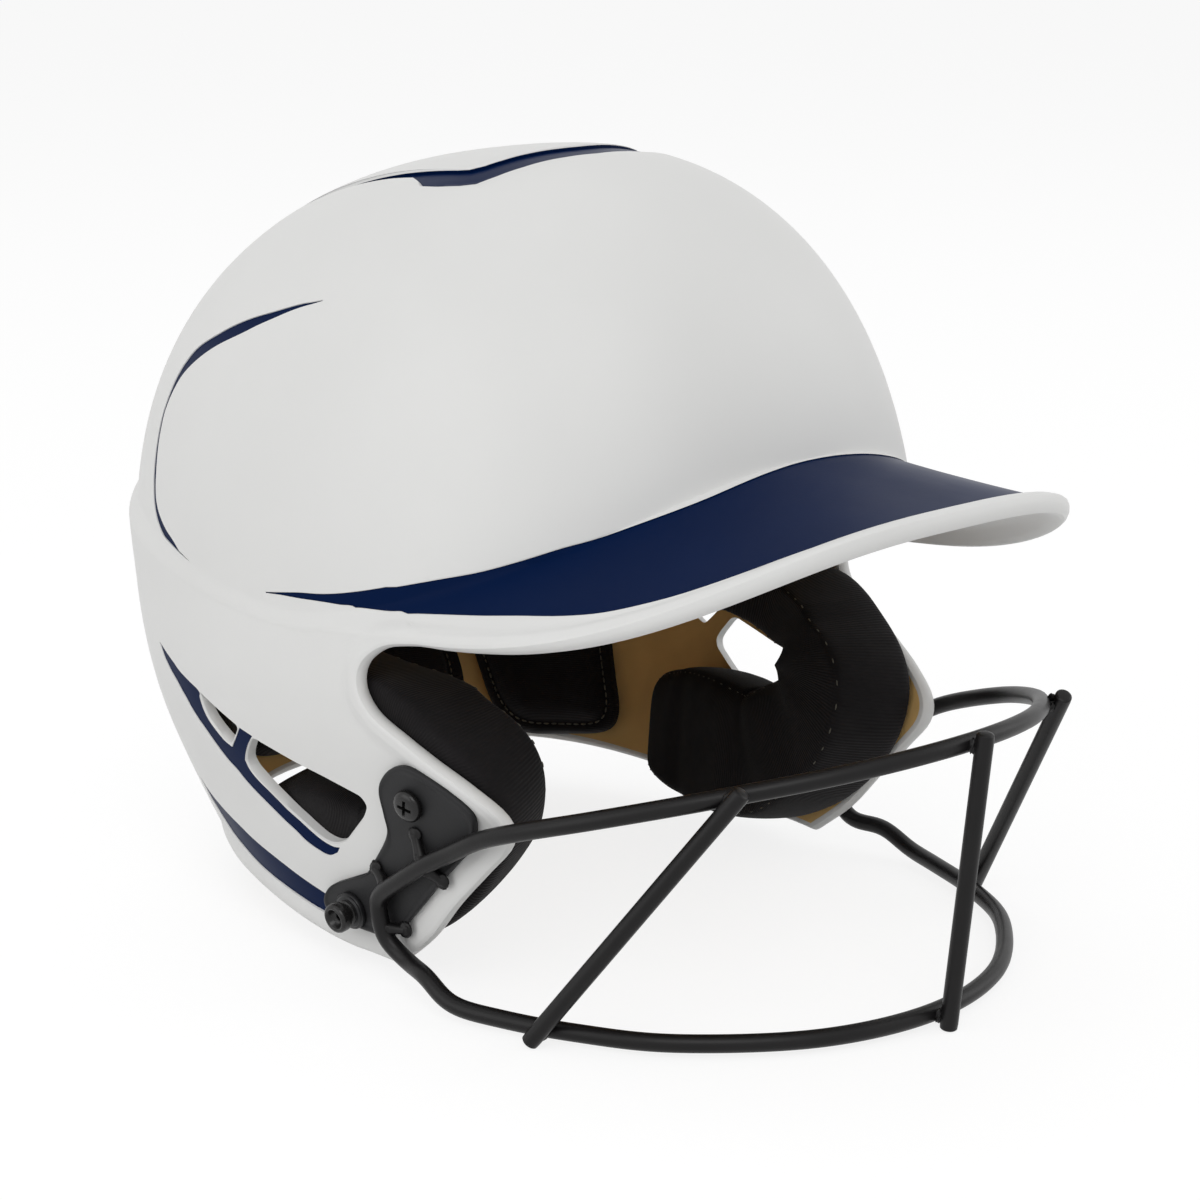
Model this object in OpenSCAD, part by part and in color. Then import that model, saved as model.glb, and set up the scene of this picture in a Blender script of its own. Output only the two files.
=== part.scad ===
// Softball batting helmet with a wire face guard. Millimetres, +Z up, the face looks to -Y and the
// wearer's left is +X. It stands on the lowest ends of the guard's struts.
// The shell and all that sits on it are worked out in a head frame, whose origin is the middle of the
// dome's waist. The stand() module tips that frame nose-up and lifts it into place.

/* [Shell] */
// Width of the dome across the ears
shell_w = 200; // [176:1:224]
// Middle of the dome to the brow
front_r = 111; // [99:1:123]
// Middle of the dome to its back
back_r = 149; // [133:1:163]
// Height of the dome above its waist
dome_h = 132; // [116:1:148]
// Wall of the shell
shell_t = 3.6; // [2.8:0.1:5]
// Nose-up lean of the shell in degrees
nose_up = 6; // [2:0.5:10]
// Height of the waist above the ground
waist_z = 102; // [98:1:112]
// Extra fullness of the ridge round the back
ridge_out = 1.4; // [0:0.2:4]
// Drop of the ear flaps' tips below the waist
flap_drop = 98; // [92:1:104]
// Drop of the nape edge below the waist
nape_drop = 70; // [60:1:80]
// How far each flap's tip is drawn in
flap_tuck = 11; // [7:0.5:15]
// How far the flaps bulge out over the ears
ear_out = 3.2; // [0:0.2:6]
// How far the nape is drawn in at flap depth
nape_tuck = 52; // [40:1:60]

/* [Brim] */
// Reach of the brim ahead of its roots at the temples
brim_l = 115.5; // [102:0.5:128]
// Height of the brim's top edge above the waist at the front
brim_rise = 30; // [24:1:36]
// Height of the brow line above the waist at the front
brow_rise = 42; // [36:1:50]
// Thickness of the brim's rounded edge
brim_edge_t = 4.8; // [4.6:0.2:7]
// Extra thickness of the lip round the other edges
lip_t = 1.2; // [0.4:0.2:2]

/* [Vents] */
// Length of the ear vent's top edge
vent_l = 43.5; // [34:0.5:46]
// Height of the ear vent
vent_h = 16; // [12:0.5:17]
// Length of the small rear vent
small_vent_l = 17; // [12:1:20]
// Height of the small rear vent
small_vent_h = 11; // [8:0.5:13]

/* [Guard] */
// Diameter of the guard's wire
wire_d = 5.2; // [4.4:0.1:6]
// How far each side of the guard stands in from the dome's side
guard_in = 3; // [1:0.5:6]
// Reach of the top bar ahead of the waist's middle
top_bar_reach = 170; // [160:1:180]
// Height of the top bar at its middle
top_bar_z = 85; // [76:0.5:92]
// Reach of the bottom bar ahead of the waist's middle
low_bar_reach = 161; // [152:1:172]
// How far the struts stand past the bars
strut_over = 1.4; // [0.6:0.2:3]
// How far the outer struts' tops stand in from the guard's sides
strut_top_in = 32.5; // [24:0.5:42]
// How far the outer struts' feet stand in from the guard's sides
strut_low_in = 9; // [6:0.5:15]

/* [Plates and fasteners] */
// Thickness of the guard's side plates
plate_t = 2.2; // [1.6:0.1:3]
// Shank of the upper screws
screw_d = 4; // [3:0.1:5]
// Head of the upper screws
screw_head_d = 8.4; // [7:0.2:10]
// Height of the upper screws' heads
screw_head_h = 2.4; // [1.8:0.1:3.2]
// Shank of the snap studs
stud_d = 5; // [4:0.1:6]
// Cap of the snap studs
stud_cap_d = 9; // [8:0.1:10.4]
// Length of the snap studs' caps
stud_cap_h = 4; // [3:0.1:5]
// Washer under each snap stud
washer_d = 12; // [11:0.2:14]
// Thickness of the washers
washer_t = 1.8; // [1.2:0.1:2.6]
// Flange of the nuts inside the shell
nut_d = 13; // [11:0.5:15]
// Thickness of the nuts' flanges
nut_t = 1.6; // [1.2:0.1:2.2]

/* [Pads] */
// Thickness of the ear pads
ear_pad_t = 27; // [18:1:28]
// Thickness of the crown pad
crown_pad_t = 14; // [10:1:18]
// Thickness of the forehead pad
brow_pad_t = 12; // [9:1:15]
// Thickness of the rear pads
rear_pad_t = 13; // [9:1:16]
// Width of the middle rear pad
rear_pad_w = 128; // [112:1:134]
// Height of the rear pads
rear_pad_h = 46; // [34:1:50]

/* [Fits] */
// Gap between a piece and the surface it is seated on
seat = 0.3; // [0.2:0.05:0.5]
// Extra diameter of a hole over its screw
hole_fit = 0.4; // [0.3:0.1:0.8]

/* [Hidden] */

white = "#dcdcda";
black = "#1c1c1e";
dark = "#303236";
cloth = "#26262a";

half_w = shell_w / 2;
wire_r = wire_d / 2;
guard_w = half_w - guard_in;
strut_top_x = guard_w - strut_top_in;
strut_low_x = guard_w - strut_low_in;
mid_y = -8.3;            // the dome's middle behind the guard's datum, before centring
plan_n = 2.4;            // squareness of the dome's plan
rise_n = 2.32;           // squareness of the dome's rise
egg = 0.13;              // how much wider the back is than the front
flap_r = front_r + 40;   // plan radius of the flaps, flatter than the dome
root_y = -46;            // the brim's roots at the temples
root_z = 1.5;

// Small helpers. smooth() runs from 0 to 1 between a and b.
function spow(v, p) = sign(v) * pow(abs(v), p);
function clamp(v, a, b) = max(a, min(b, v));
function smooth(a, b, x) = let (t = clamp((x - a) / (b - a), 0, 1)) t * t * (3 - 2 * t);
function unit(v) = v / max(norm(v), 1e-9);
function mix(a, b, t) = a + (b - a) * t;
function flip(p) = [-p.x, p.y, p.z];

// A smooth curve through the points P, at t from 0 to 1.
function curve(P, t) =
    let (n = len(P) - 1, s = clamp(t * n, 0, n - 1e-6), i = floor(s), f = s - i,
        b = P[i], c = P[i + 1],
        a = i > 0 ? P[i - 1] : 2 * b - c,
        d = i + 2 <= n ? P[i + 2] : 2 * c - b)
    0.5 * (2 * b + (c - a) * f + (2 * a - 5 * b + 4 * c - d) * f * f + (3 * b - a - 3 * c + d) * f * f * f);

// The head frame in the standing frame, as a point and as a module.
function stood(p) = [p.x,
    p.y * cos(nose_up) + p.z * sin(nose_up) + mid_y,
    p.z * cos(nose_up) - p.y * sin(nose_up) + waist_z];
function headed(p) = let (y = p.y - mid_y, z = p.z - waist_z)
    [p.x, y * cos(nose_up) - z * sin(nose_up), y * sin(nose_up) + z * cos(nose_up)];
module stand() {
    translate([0, mid_y + centre_y, waist_z]) rotate([-nose_up, 0, 0]) children();
}
module on_side(s) {
    if (s > 0) children();
    else mirror([1, 0, 0]) children();
}

// Dome: phi runs round from the wearer's left over the back, th from the waist to the crown.
function dome(phi, th) =
    let (c = spow(cos(th), 2 / rise_n), X = spow(cos(phi), 2 / plan_n), Y = spow(sin(phi), 2 / plan_n))
    [half_w * X * (1 + egg * Y) * c, (Y > 0 ? back_r : front_r) * Y * c, dome_h * spow(sin(th), 2 / rise_n)];
function dome_th(z) = asin(pow(clamp(z / dome_h, 0, 1), rise_n / 2));
function dome_top(x, y) =
    let (Y = y / (y > 0 ? back_r : front_r), X = x / (half_w * (1 + egg * Y)),
        rho = pow(pow(abs(X), plan_n) + pow(abs(Y), plan_n), 1 / plan_n))
    [x, y, dome_h * pow(max(0, 1 - pow(rho, rise_n)), 1 / rise_n)];

// Wall below the dome, drawn in toward the flaps' tips and the nape, with a ridge round the back.
function depth(z) = clamp(-z / 100, 0, 2);
function back_at(z) = back_r - nape_tuck * pow(depth(z), 1.8);
function side_at(z) = half_w - flap_tuck * pow(depth(z), 1.7);
function swoop(s) = s * s / (abs(s) + 0.12);
function ridge_z(phi) = -4 + 46 * swoop(max(sin(phi), 0));
function ridge_amp(phi, z) = let (d = z - ridge_z(phi))
    ridge_out * smooth(-0.1, 0.75, sin(phi)) * smooth(11, 0, d) * (1 - 0.9 * smooth(0, -40, d));
function ear_bulge(phi, z) = ear_out * smooth(52, 20, phi) * smooth(14, -20, z) * smooth(-62, -25, z);
function wall(phi, z) =
    let (X = spow(cos(phi), 2 / plan_n), Y = spow(sin(phi), 2 / plan_n),
        x = side_at(z) * X * (1 + egg * (Y > 0 ? Y : Y / 2)) * (1 - 0.06 * pow(depth(z), 2) * smooth(0, 0.6, Y))
            + ear_bulge(phi, z),
        y = (Y > 0 ? back_at(z) : flap_r) * Y,
        k = 1 + ridge_amp(phi, z) / norm([x, y]))
    [x * k, y * k, z];
function wall_phi(y, z) = asin(spow(clamp(y / (y > 0 ? back_at(z) : flap_r), -1, 1), plan_n / 2));
function wall_out(phi, z) = unit(cross(wall(phi + 0.5, z) - wall(phi - 0.5, z),
    wall(phi, z + 0.5) - wall(phi, z - 0.5)));
// A point on the left side wall at y, z of the head frame, o outside the surface.
function skin(y, z, o) = let (phi = wall_phi(y, z)) wall(phi, z) + o * wall_out(phi, z);
function skin_out(y, z) = wall_out(wall_phi(y, z), z);

// Front edge of a flap, from the brim's root round the temple and the cheek to the tip.
temple = [-22, -13];
cheek = [-67, -52];
tip = [-15, 0.5 - flap_drop];
flap_edge = [[root_y, root_z], [mix(root_y, temple.x, 0.55), 0], temple + [-2, 7.5], temple,
    temple + [-4.5, -8], mix(temple + [-4.5, -8], cheek + [10, 11], 0.33),
    mix(temple + [-4.5, -8], cheek + [10, 11], 0.66), cheek + [10, 11], cheek + [0.8, 3],
    cheek + [1, -4], mix(cheek, tip, 0.22) + [-1, -2.5], mix(cheek, tip, 0.47) + [-0.5, -2.5],
    mix(cheek, tip, 0.73) + [-1, -2.5], tip];

// Grid of the side walls: row i from the ridge down to the lower edge, column k from the left flap's
// front edge over the nape to the right one. Rows and columns crowd together toward the edges.
n_side = 22;
n_low = 20;
n_brim = 20;
n_dome = 12;
n_flare = 4;
n_ring = 2 * n_side + n_brim;
function row_t(i) = let (u = i / n_low) u < 0.5 ? u : 1 - pow(1 - u, 1.35) * 0.5 / pow(0.5, 1.35);
function col_s(m) = m < 3 ? [0, 0.01, 0.019][m] : mix(0.019, 1, pow((m - 2) / (n_side - 2), 1.35));
function low_at(i, m) =
    let (t = row_t(i), e = curve(flap_edge, t), s = col_s(m),
        phi0 = wall_phi(e[0], e[1]), phi = mix(phi0, 90, s),
        z0 = ridge_z(mix(root_phi, 90, s)), z1 = mix(tip[1], -nape_drop, pow(sin(90 * s), 0.95)),
        z = mix(z0, z1, t) + (e[1] - mix(ridge_z(0), tip[1], t)) * (1 - smooth(0, 0.7, s)))
    wall(phi, z);
function low(i, k) = k <= n_side ? low_at(i, k) : flip(low_at(i, 2 * n_side - k));
root_phi = wall_phi(root_y, root_z);
function ring_phi(j) = j <= n_side ? mix(root_phi, 90, col_s(j))
    : j <= 2 * n_side ? 180 - mix(root_phi, 90, col_s(2 * n_side - j))
    : mix(180 - root_phi, 360 + root_phi, (j - 2 * n_side) / n_brim);

// Brim edge: u runs from the right temple over the front to the left one.
brim_w = wall(root_phi, root_z).x;
function brim_edge(u) = [brim_w * spow(sin(u), 2 / 3.1), root_y - brim_l * cos(u),
    mix(root_z, brim_rise, pow(max(cos(u), 0), 2.45))];
function crease_z(phi) = let (s = sin(phi))
    s > 0 ? ridge_z(phi) + 11 : 7 + 26.8 * swoop(s) + (brow_rise - 31) * pow(-s, 4);

// Upper grid: row i from the crown to the crease, then over the flare to the ridge or the brim's edge.
n_up = n_dome + n_flare;
function up(i, j) =
    let (phi = ring_phi(j), thc = dome_th(crease_z(phi)))
    i <= n_dome ? dome(phi, 90 - (90 - thc) * i / n_dome)
    : let (c = dome(phi, thc), front = j > 2 * n_side,
        e = front ? brim_edge(-90 + 180 * (j - 2 * n_side) / n_brim) : low(0, j),
        v = (i - n_dome) / n_flare, w = front ? 1 - pow(1 - v, 1.25) : v,
        g = front ? abs(sin(phi)) : 0,
        fx = mix(smooth(0, 1, w), w, g), fz = mix(w, 1 - pow(1 - w, 1.15), g))
    [mix(c.x, e.x, fx), mix(c.y, e.y, fx), mix(c.z, e.z, fz)];

UP = [for (i = [0 : n_up]) [for (j = [0 : n_ring - 1]) up(i, j)]];
LOW = [for (i = [0 : n_low]) [for (k = [0 : 2 * n_side]) low(i, k)]];
function up_n(i, j) =
    let (a = UP[i][(j + 1) % n_ring] - UP[i][(j + n_ring - 1) % n_ring],
        below = i < n_up ? UP[i + 1][j] : j > 0 && j < 2 * n_side ? LOW[1][j] : UP[i][j],
        b = below - UP[i - 1][j])
    i == 0 ? [0, 0, 1] : unit(cross(b, a));
function low_n(i, k) =
    let (a = LOW[i][min(k + 1, 2 * n_side)] - LOW[i][max(k - 1, 0)],
        b = LOW[min(i + 1, n_low)][k] - LOW[i - 1][k])
    unit(cross(b, a));
// The lip swells outward on the flaps and the nape, and under the brim's edge.
function up_out(i, j) = i == n_up && j >= 2 * n_side ? lip_t / 2 : 0;
function up_t(i, j) = let (f = smooth(0.15, 0.8, -sin(ring_phi(j))))
    i >= n_up - 1 && j > 2 * n_side ? mix(shell_t + lip_t, brim_edge_t, f) - up_out(i, j) : shell_t;
function low_out(i, k) = i == n_low || k == 0 || k == 2 * n_side ? lip_t
    : i == n_low - 1 || k == 1 || k == 2 * n_side - 1 ? 0.6 * lip_t : 0;

// Moves a list of points so that the model's plan box is centred on the origin.
function max_y(P) = max([for (p = P) stood(p).y]);
back_y = max(max_y([for (i = [0 : 6]) LOW[i][n_side]]), max_y([for (i = [0 : n_up]) UP[i][n_side]]));

module shell_skin() {
    n_top = 1 + n_up * n_ring;
    n_bot = n_low * (2 * n_side + 1);
    half = n_top + n_bot;
    outer = concat([UP[0][0]],
        [for (i = [1 : n_up]) for (j = [0 : n_ring - 1]) UP[i][j] + up_out(i, j) * up_n(i, j)],
        [for (i = [1 : n_low]) for (k = [0 : 2 * n_side]) LOW[i][k] + low_out(i, k) * low_n(i, k)]);
    inner = concat([UP[0][0] - [0, 0, shell_t]],
        [for (i = [1 : n_up]) for (j = [0 : n_ring - 1]) UP[i][j] - up_t(i, j) * up_n(i, j)],
        [for (i = [1 : n_low]) for (k = [0 : 2 * n_side]) LOW[i][k] - shell_t * low_n(i, k)]);
    function ui(i, j) = i == 0 ? 0 : 1 + (i - 1) * n_ring + j % n_ring;
    function li(i, k) = i == 0 ? ui(n_up, k) : n_top + (i - 1) * (2 * n_side + 1) + k;
    // The open edge as one loop: left flap, lower edge, right flap, brim.
    edge = concat([for (i = [0 : n_low]) li(i, 0)], [for (k = [1 : 2 * n_side]) li(n_low, k)],
        [for (i = [n_low - 1 : -1 : 0]) li(i, 2 * n_side)],
        [for (j = [2 * n_side + 1 : n_ring - 1]) ui(n_up, j)]);
    n_edge = len(edge);
    bull = [for (m = [0 : n_edge - 1])
        let (a = edge[m], along = outer[edge[(m + 1) % n_edge]] - outer[edge[(m + n_edge - 1) % n_edge]],
            through = outer[a] - inner[a])
        (outer[a] + inner[a]) / 2 + unit(cross(along, through)) * norm(through) * 0.3];
    skin_faces = concat(
        [for (j = [0 : n_ring - 1]) [0, ui(1, j + 1), ui(1, j)]],
        [for (i = [1 : n_up - 1]) for (j = [0 : n_ring - 1])
            each [[ui(i, j), ui(i, j + 1), ui(i + 1, j + 1)], [ui(i, j), ui(i + 1, j + 1), ui(i + 1, j)]]],
        [for (i = [0 : n_low - 1]) for (k = [0 : 2 * n_side - 1])
            each [[li(i, k), li(i, k + 1), li(i + 1, k + 1)], [li(i, k), li(i + 1, k + 1), li(i + 1, k)]]]);
    edge_faces = [for (m = [0 : n_edge - 1])
        let (a = edge[m], b = edge[(m + 1) % n_edge], c = 2 * half + m, d = 2 * half + (m + 1) % n_edge)
        each [[a, b, d], [a, d, c], [c, d, b + half], [c, b + half, a + half]]];
    polyhedron(concat(outer, inner, bull),
        concat(skin_faces, [for (f = skin_faces) [f[2] + half, f[1] + half, f[0] + half]], edge_faces));
}

// Outline of a window with rounded corners, in y and z of the head frame.
function rounded(P, r) = [for (i = [0 : len(P) - 1])
    let (p = P[i], a = unit(P[(i + len(P) - 1) % len(P)] - p), b = unit(P[(i + 1) % len(P)] - p))
    each [for (t = [0 : 0.25 : 1]) p + a * r * (1 - t) * (1 - t) + b * r * t * t]];
vent_at = [29.5, -33.4];
vent = rounded([vent_at, vent_at + [-vent_l, -13.4], vent_at + [-1.5 - vent_l, -16.4],
    vent_at + [13 - vent_l, -11.5 - 1.1 * vent_h], vent_at + [22 - vent_l, -12 - 1.2 * vent_h],
    vent_at + [3, -vent_h * 1.08], vent_at + [6.5, -vent_h * 0.72], vent_at + [5.5, -6]], 1.4);
small_vent_at = [53.5, -22.4];
small_vent = rounded([small_vent_at, small_vent_at + [-small_vent_l, -9.2],
    small_vent_at + [4.8 - small_vent_l, -3 - small_vent_h], small_vent_at + [7.8 - small_vent_l, -3.4 - small_vent_h],
    small_vent_at + [-2.5, 1.6 - small_vent_h], small_vent_at + [0, -5]], 1.2);
module window(P) {
    rotate([90, 0, 90]) translate([0, 0, half_w * 0.6]) linear_extrude(half_w) polygon(P);
}

// Places a child on the wall at y, z of the head frame, with its +Z square to the wall.
module on_wall(s, at, o) {
    p = skin(at[0], at[1], o);
    n = skin_out(at[0], at[1]);
    on_side(s) translate(p) rotate([0, acos(n.z), atan2(n.y, n.x)]) children();
}
screw_at = [-37, -45.5];
stud_at = [-1.5, -82.8];

module shell() {
    color(white) stand() difference() {
        shell_skin();
        for (s = [-1, 1]) {
            on_side(s) window(vent);
            on_side(s) window(small_vent);
            on_wall(s, screw_at, -3 * shell_t) cylinder(h = 6 * shell_t, d = screw_d + hole_fit, $fn = 32);
            on_wall(s, stud_at, -3 * shell_t) cylinder(h = 6 * shell_t, d = stud_d + hole_fit, $fn = 32);
        }
    }
}

// A tube of round section along the points P, with flat ends.
module wire(P, r, n = 12) {
    m = len(P);
    T = [for (i = [0 : m - 1]) unit(P[min(i + 1, m - 1)] - P[max(i - 1, 0)])];
    S = [for (i = [0 : m - 1]) unit(cross(T[i], abs(T[i].z) < 0.9 ? [0, 0, 1] : [1, 0, 0]))];
    rings = [for (i = [0 : m - 1]) for (a = [0 : n - 1])
        P[i] + r * (cos(360 * a / n) * S[i] + sin(360 * a / n) * cross(S[i], T[i]))];
    faces = concat([[for (a = [n - 1 : -1 : 0]) a]], [[for (a = [0 : n - 1]) (m - 1) * n + a]],
        [for (i = [0 : m - 2]) for (a = [0 : n - 1]) let (b = (a + 1) % n)
            each [[i * n + a, i * n + b, (i + 1) * n + b], [i * n + a, (i + 1) * n + b, (i + 1) * n + a]]]);
    polyhedron(rings, faces);
}

// Guard wire, right half mirrored. On each plate the two bars meet end to end in one loop.
plate_out = seat + plate_t;
wire_out = plate_out + seat + wire_r;
function loop(y, z) = stood(skin(y, z, wire_out));
loop_end = [-17, -82];   // where the two bars meet on a plate
bend = 6;                // straight run of each bar from there
low_z = wire_r + strut_over;
top_half = [loop(loop_end[0], loop_end[1] + seat), loop(loop_end[0] - 0.3, loop_end[1] + bend), loop(-21.5, -72.8), loop(-30, -68),
    loop(-39, -63), loop(-50, -57.8),
    [guard_w - 0.8, -78, 56.2], [guard_w - 2.5, -95, 62.7], [guard_w - 9, -115, 69.2],
    [guard_w - 28, 30.5 - top_bar_reach, top_bar_z - 8.5], [guard_w - 60, 8.5 - top_bar_reach, top_bar_z - 2.5],
    [0, -top_bar_reach, top_bar_z]];
low_half = [loop(loop_end[0], loop_end[1] - seat), loop(loop_end[0] - 0.3, loop_end[1] - bend), loop(-25, -94.3), [guard_w - 0.5, -54.5, 9.5],
    [guard_w, -66, low_z + 0.8], [guard_w - 4, -81, low_z], [guard_w - 12.5, -103, low_z],
    [guard_w - 28, 33 - low_bar_reach, low_z], [guard_w - 60, 8.5 - low_bar_reach, low_z],
    [0, -low_bar_reach, low_z]];
function whole(H) = concat(H, [for (i = [len(H) - 2 : -1 : 0]) flip(H[i])]);
top_path = whole(top_half);
low_path = whole(low_half);
module bar(path, n) {
    translate([0, centre_y, 0]) wire([for (i = [0 : n]) curve(path, i / n)], wire_r);
}
module guard_top_bar() {
    color(black) bar(top_path, 72);
}
module guard_bottom_bar() {
    color(black) bar(low_path, 64);
}

// Point of a bar where its half width is x, found on the curve, and the way out from the face there.
function bar_at(path, x, lo = 0.05, hi = 0.5, n = 24) =
    n == 0 ? curve(path, lo) : let (m = (lo + hi) / 2)
        curve(path, m).x > x ? bar_at(path, x, m, hi, n - 1) : bar_at(path, x, lo, m, n - 1);
function bar_away(path, x) = let (a = bar_at(path, x + 1), b = bar_at(path, max(x - 1, -1)), d = a - b)
    unit([-d.y, d.x, 0] * -1);
strut_gap = wire_d + seat;
strut_chamfer = wire_r * 0.25;
function strut_ends(xt, xl) =
    let (a = bar_at(top_path, xt) + strut_gap * (xt > 0 ? bar_away(top_path, xt) : [0, -1, 0]),
        b = bar_at(low_path, xl) + strut_gap * (xl > 0 ? bar_away(low_path, xl) : [0, -1, 0]),
        u = unit(b - a), lean = norm([u.x, u.y]) * (wire_r - strut_chamfer))
    [a - u * (wire_r + strut_over), b + u * (b.z - lean) / -u.z];
module strut(ends) {
    d = ends[1] - ends[0];
    h = norm(d);
    translate([0, centre_y, 0]) translate(ends[0]) rotate([0, acos(d.z / h), atan2(d.y, d.x)])
        rotate_extrude($fn = 32) polygon([[0, 0], [wire_r - strut_chamfer, 0], [wire_r, strut_chamfer],
            [wire_r, h - strut_chamfer], [wire_r - strut_chamfer, h], [0, h]]);
}
mid_strut = strut_ends(0, 0);
side_strut = strut_ends(strut_top_x, strut_low_x);
module guard_center_strut() {
    color(black) strut(mid_strut);
}
module guard_right_strut() {
    color(black) strut([flip(side_strut[0]), flip(side_strut[1])]);
}
module guard_left_strut() {
    color(black) strut(side_strut);
}
front_y = min(mid_strut[0].y, side_strut[0].y, mid_strut[1].y, side_strut[1].y) - wire_r;
centre_y = -(front_y + back_y) / 2;

// A slab that follows the side wall: outline P in y and z about the point c, from o to o + t outside.
module wall_slab(P, c, o, t) {
    n = len(P);
    rs = [0.25, 0.5, 0.75, 1];
    function layer(off) = concat([skin(c[0], c[1], off)],
        [for (r = rs) for (p = P) let (q = mix(c, p, r)) skin(q[0], q[1], off)]);
    m = 1 + len(rs) * n;
    function at(i, a) = 1 + i * n + a % n;
    face = concat([for (a = [0 : n - 1]) [0, at(0, a), at(0, a + 1)]],
        [for (i = [0 : len(rs) - 2]) for (a = [0 : n - 1])
            each [[at(i, a), at(i + 1, a), at(i + 1, a + 1)], [at(i, a), at(i + 1, a + 1), at(i, a + 1)]]]);
    last = len(rs) - 1;
    rim = [for (a = [0 : n - 1]) each [[at(last, a), at(last, a + 1) + m, at(last, a + 1)],
        [at(last, a), at(last, a) + m, at(last, a + 1) + m]]];
    polyhedron(concat(layer(o), layer(o + t)),
        concat([for (f = face) [f[2], f[1], f[0]]], [for (f = face) [f[0] + m, f[1] + m, f[2] + m]],
            [for (f = rim) [f[0], f[1], f[2]]]));
}

// Outline of a side plate, from its top corner round the waist and the stud's lobe to the front edge.
plate_mid = [-27, -65];
plate_corners = [[-38, -34.2], [-31.5, -36], [-26, -41.5], [-25, -49], [-24, -56], [-16.5, -65], [-10, -71],
    [-0.4, -74], [7, -77], [11.3, -82], [9.4, -86], [2.8, -88], [-6, -89.2], [-13.2, -89.4], [-20, -86.8], [-27.2, -81.4],
    [-35.2, -74.6], [-42.8, -67.8], [-49.4, -62.3], [-55.8, -56.6], [-58.8, -49.6], [-57.6, -45], [-52, -40.4],
    [-44.5, -36.2]];
plate_line = [for (i = [0 : 71]) let (t = i / 72 * len(plate_corners), k = floor(t), f = t - k, n = len(plate_corners),
    a = plate_corners[(k + n - 1) % n], b = plate_corners[k], c = plate_corners[(k + 1) % n],
    d = plate_corners[(k + 2) % n])
    0.5 * (2 * b + (c - a) * f + (2 * a - 5 * b + 4 * c - d) * f * f + (3 * b - a - 3 * c + d) * f * f * f)];
module guard_plate(s) {
    color(dark) stand() difference() {
        on_side(s) wall_slab(plate_line, plate_mid, seat, plate_t);
        on_wall(s, screw_at, -plate_t) cylinder(h = 4 * plate_t, d = screw_d + hole_fit, $fn = 32);
        on_wall(s, stud_at, -plate_t) cylinder(h = 4 * plate_t, d = stud_d + hole_fit, $fn = 32);
    }
}
module guard_plate_right() {
    guard_plate(-1);
}
module guard_plate_left() {
    guard_plate(1);
}

// Weld tabs: tapered pegs on the plate, each from a point [y, z] to the wire at a count of its path's points.
tab_r = 1.9;
tabs = [[[-36, -54.5], top_path, 4], [[-16.5, -67.5], top_path, 2.2], [[-43, -68.3], top_path, 4],
    [[-24, -85.6], low_path, 0.45]];
module guard_tabs(s) {
    color(black) stand() on_side(s) for (t = tabs) {
        a = skin(t[0][0], t[0][1], plate_out + seat + tab_r * 0.7);
        b = headed(curve(t[1], t[2] / (len(t[1]) - 1)));
        h = norm(b - a) - 1.3 * wire_r - seat;
        d = unit(b - a);
        translate(a) rotate([0, acos(d.z), atan2(d.y, d.x)])
            rotate_extrude($fn = 24) polygon([[0, 0], [tab_r * 0.45, 0], [tab_r * 0.7, 0.6], [tab_r, h], [0, h]]);
    }
}
module guard_tabs_right() {
    guard_tabs(-1);
}
module guard_tabs_left() {
    guard_tabs(1);
}

// Upper screws: pan heads with a cross recess, from the plate through the shell into the nuts.
nut_out = -shell_t - seat - nut_t;
module upper_screws() {
    color(black) stand() for (s = [-1, 1]) on_wall(s, screw_at, 0) difference() {
        union() {
            translate([0, 0, nut_out]) cylinder(h = plate_out + seat + 0.5 - nut_out, d = screw_d, $fn = 32);
            translate([0, 0, plate_out + seat]) rotate_extrude($fn = 40) polygon([[0, 0], [screw_head_d / 2, 0],
                [screw_head_d / 2, screw_head_h * 0.45], [screw_head_d * 0.42, screw_head_h * 0.8],
                [screw_head_d * 0.26, screw_head_h], [0, screw_head_h]]);
        }
        translate([0, 0, plate_out + seat + screw_head_h]) for (a = [0, 90]) rotate([0, 0, a + 20])
            cube([screw_head_d * 0.5, 1, 2 * screw_head_h * 0.6], center = true);
    }
}
module flange_nut(at, bore) {
    color("silver") stand() for (s = [-1, 1]) on_wall(s, at, nut_out) difference() {
        cylinder(h = nut_t, d = nut_d, $fn = 40);
        translate([0, 0, -1]) cylinder(h = nut_t + 2, d = bore + hole_fit, $fn = 32);
    }
}
module upper_nuts() {
    flange_nut(screw_at, screw_d);
}

// Snap studs for a chin strap: a shouldered cap with a hex recess, on a washer over the plate.
washer_out = plate_out + seat + washer_t;
stud_neck_h = 1.6;
module snap_studs() {
    foot = washer_out + seat;
    r = stud_cap_d / 2;
    color(black) stand() for (s = [-1, 1]) on_wall(s, stud_at, 0) difference() {
        union() {
            translate([0, 0, nut_out]) cylinder(h = foot + 0.6 - nut_out, d = stud_d, $fn = 32);
            translate([0, 0, foot]) cylinder(h = stud_neck_h, d = stud_cap_d * 0.82, $fn = 40);
            translate([0, 0, foot + stud_neck_h]) cylinder(h = stud_cap_h, d = stud_cap_d, $fn = 40);
            translate([0, 0, foot + stud_neck_h + stud_cap_h]) rotate_extrude($fn = 40)
                polygon([[0, 0], [r, 0], [r * 0.86, 0.7], [0, 0.7]]);
        }
        translate([0, 0, foot + stud_neck_h + stud_cap_h - 2]) cylinder(h = 4, d = stud_cap_d * 0.46, $fn = 6);
    }
}
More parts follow.
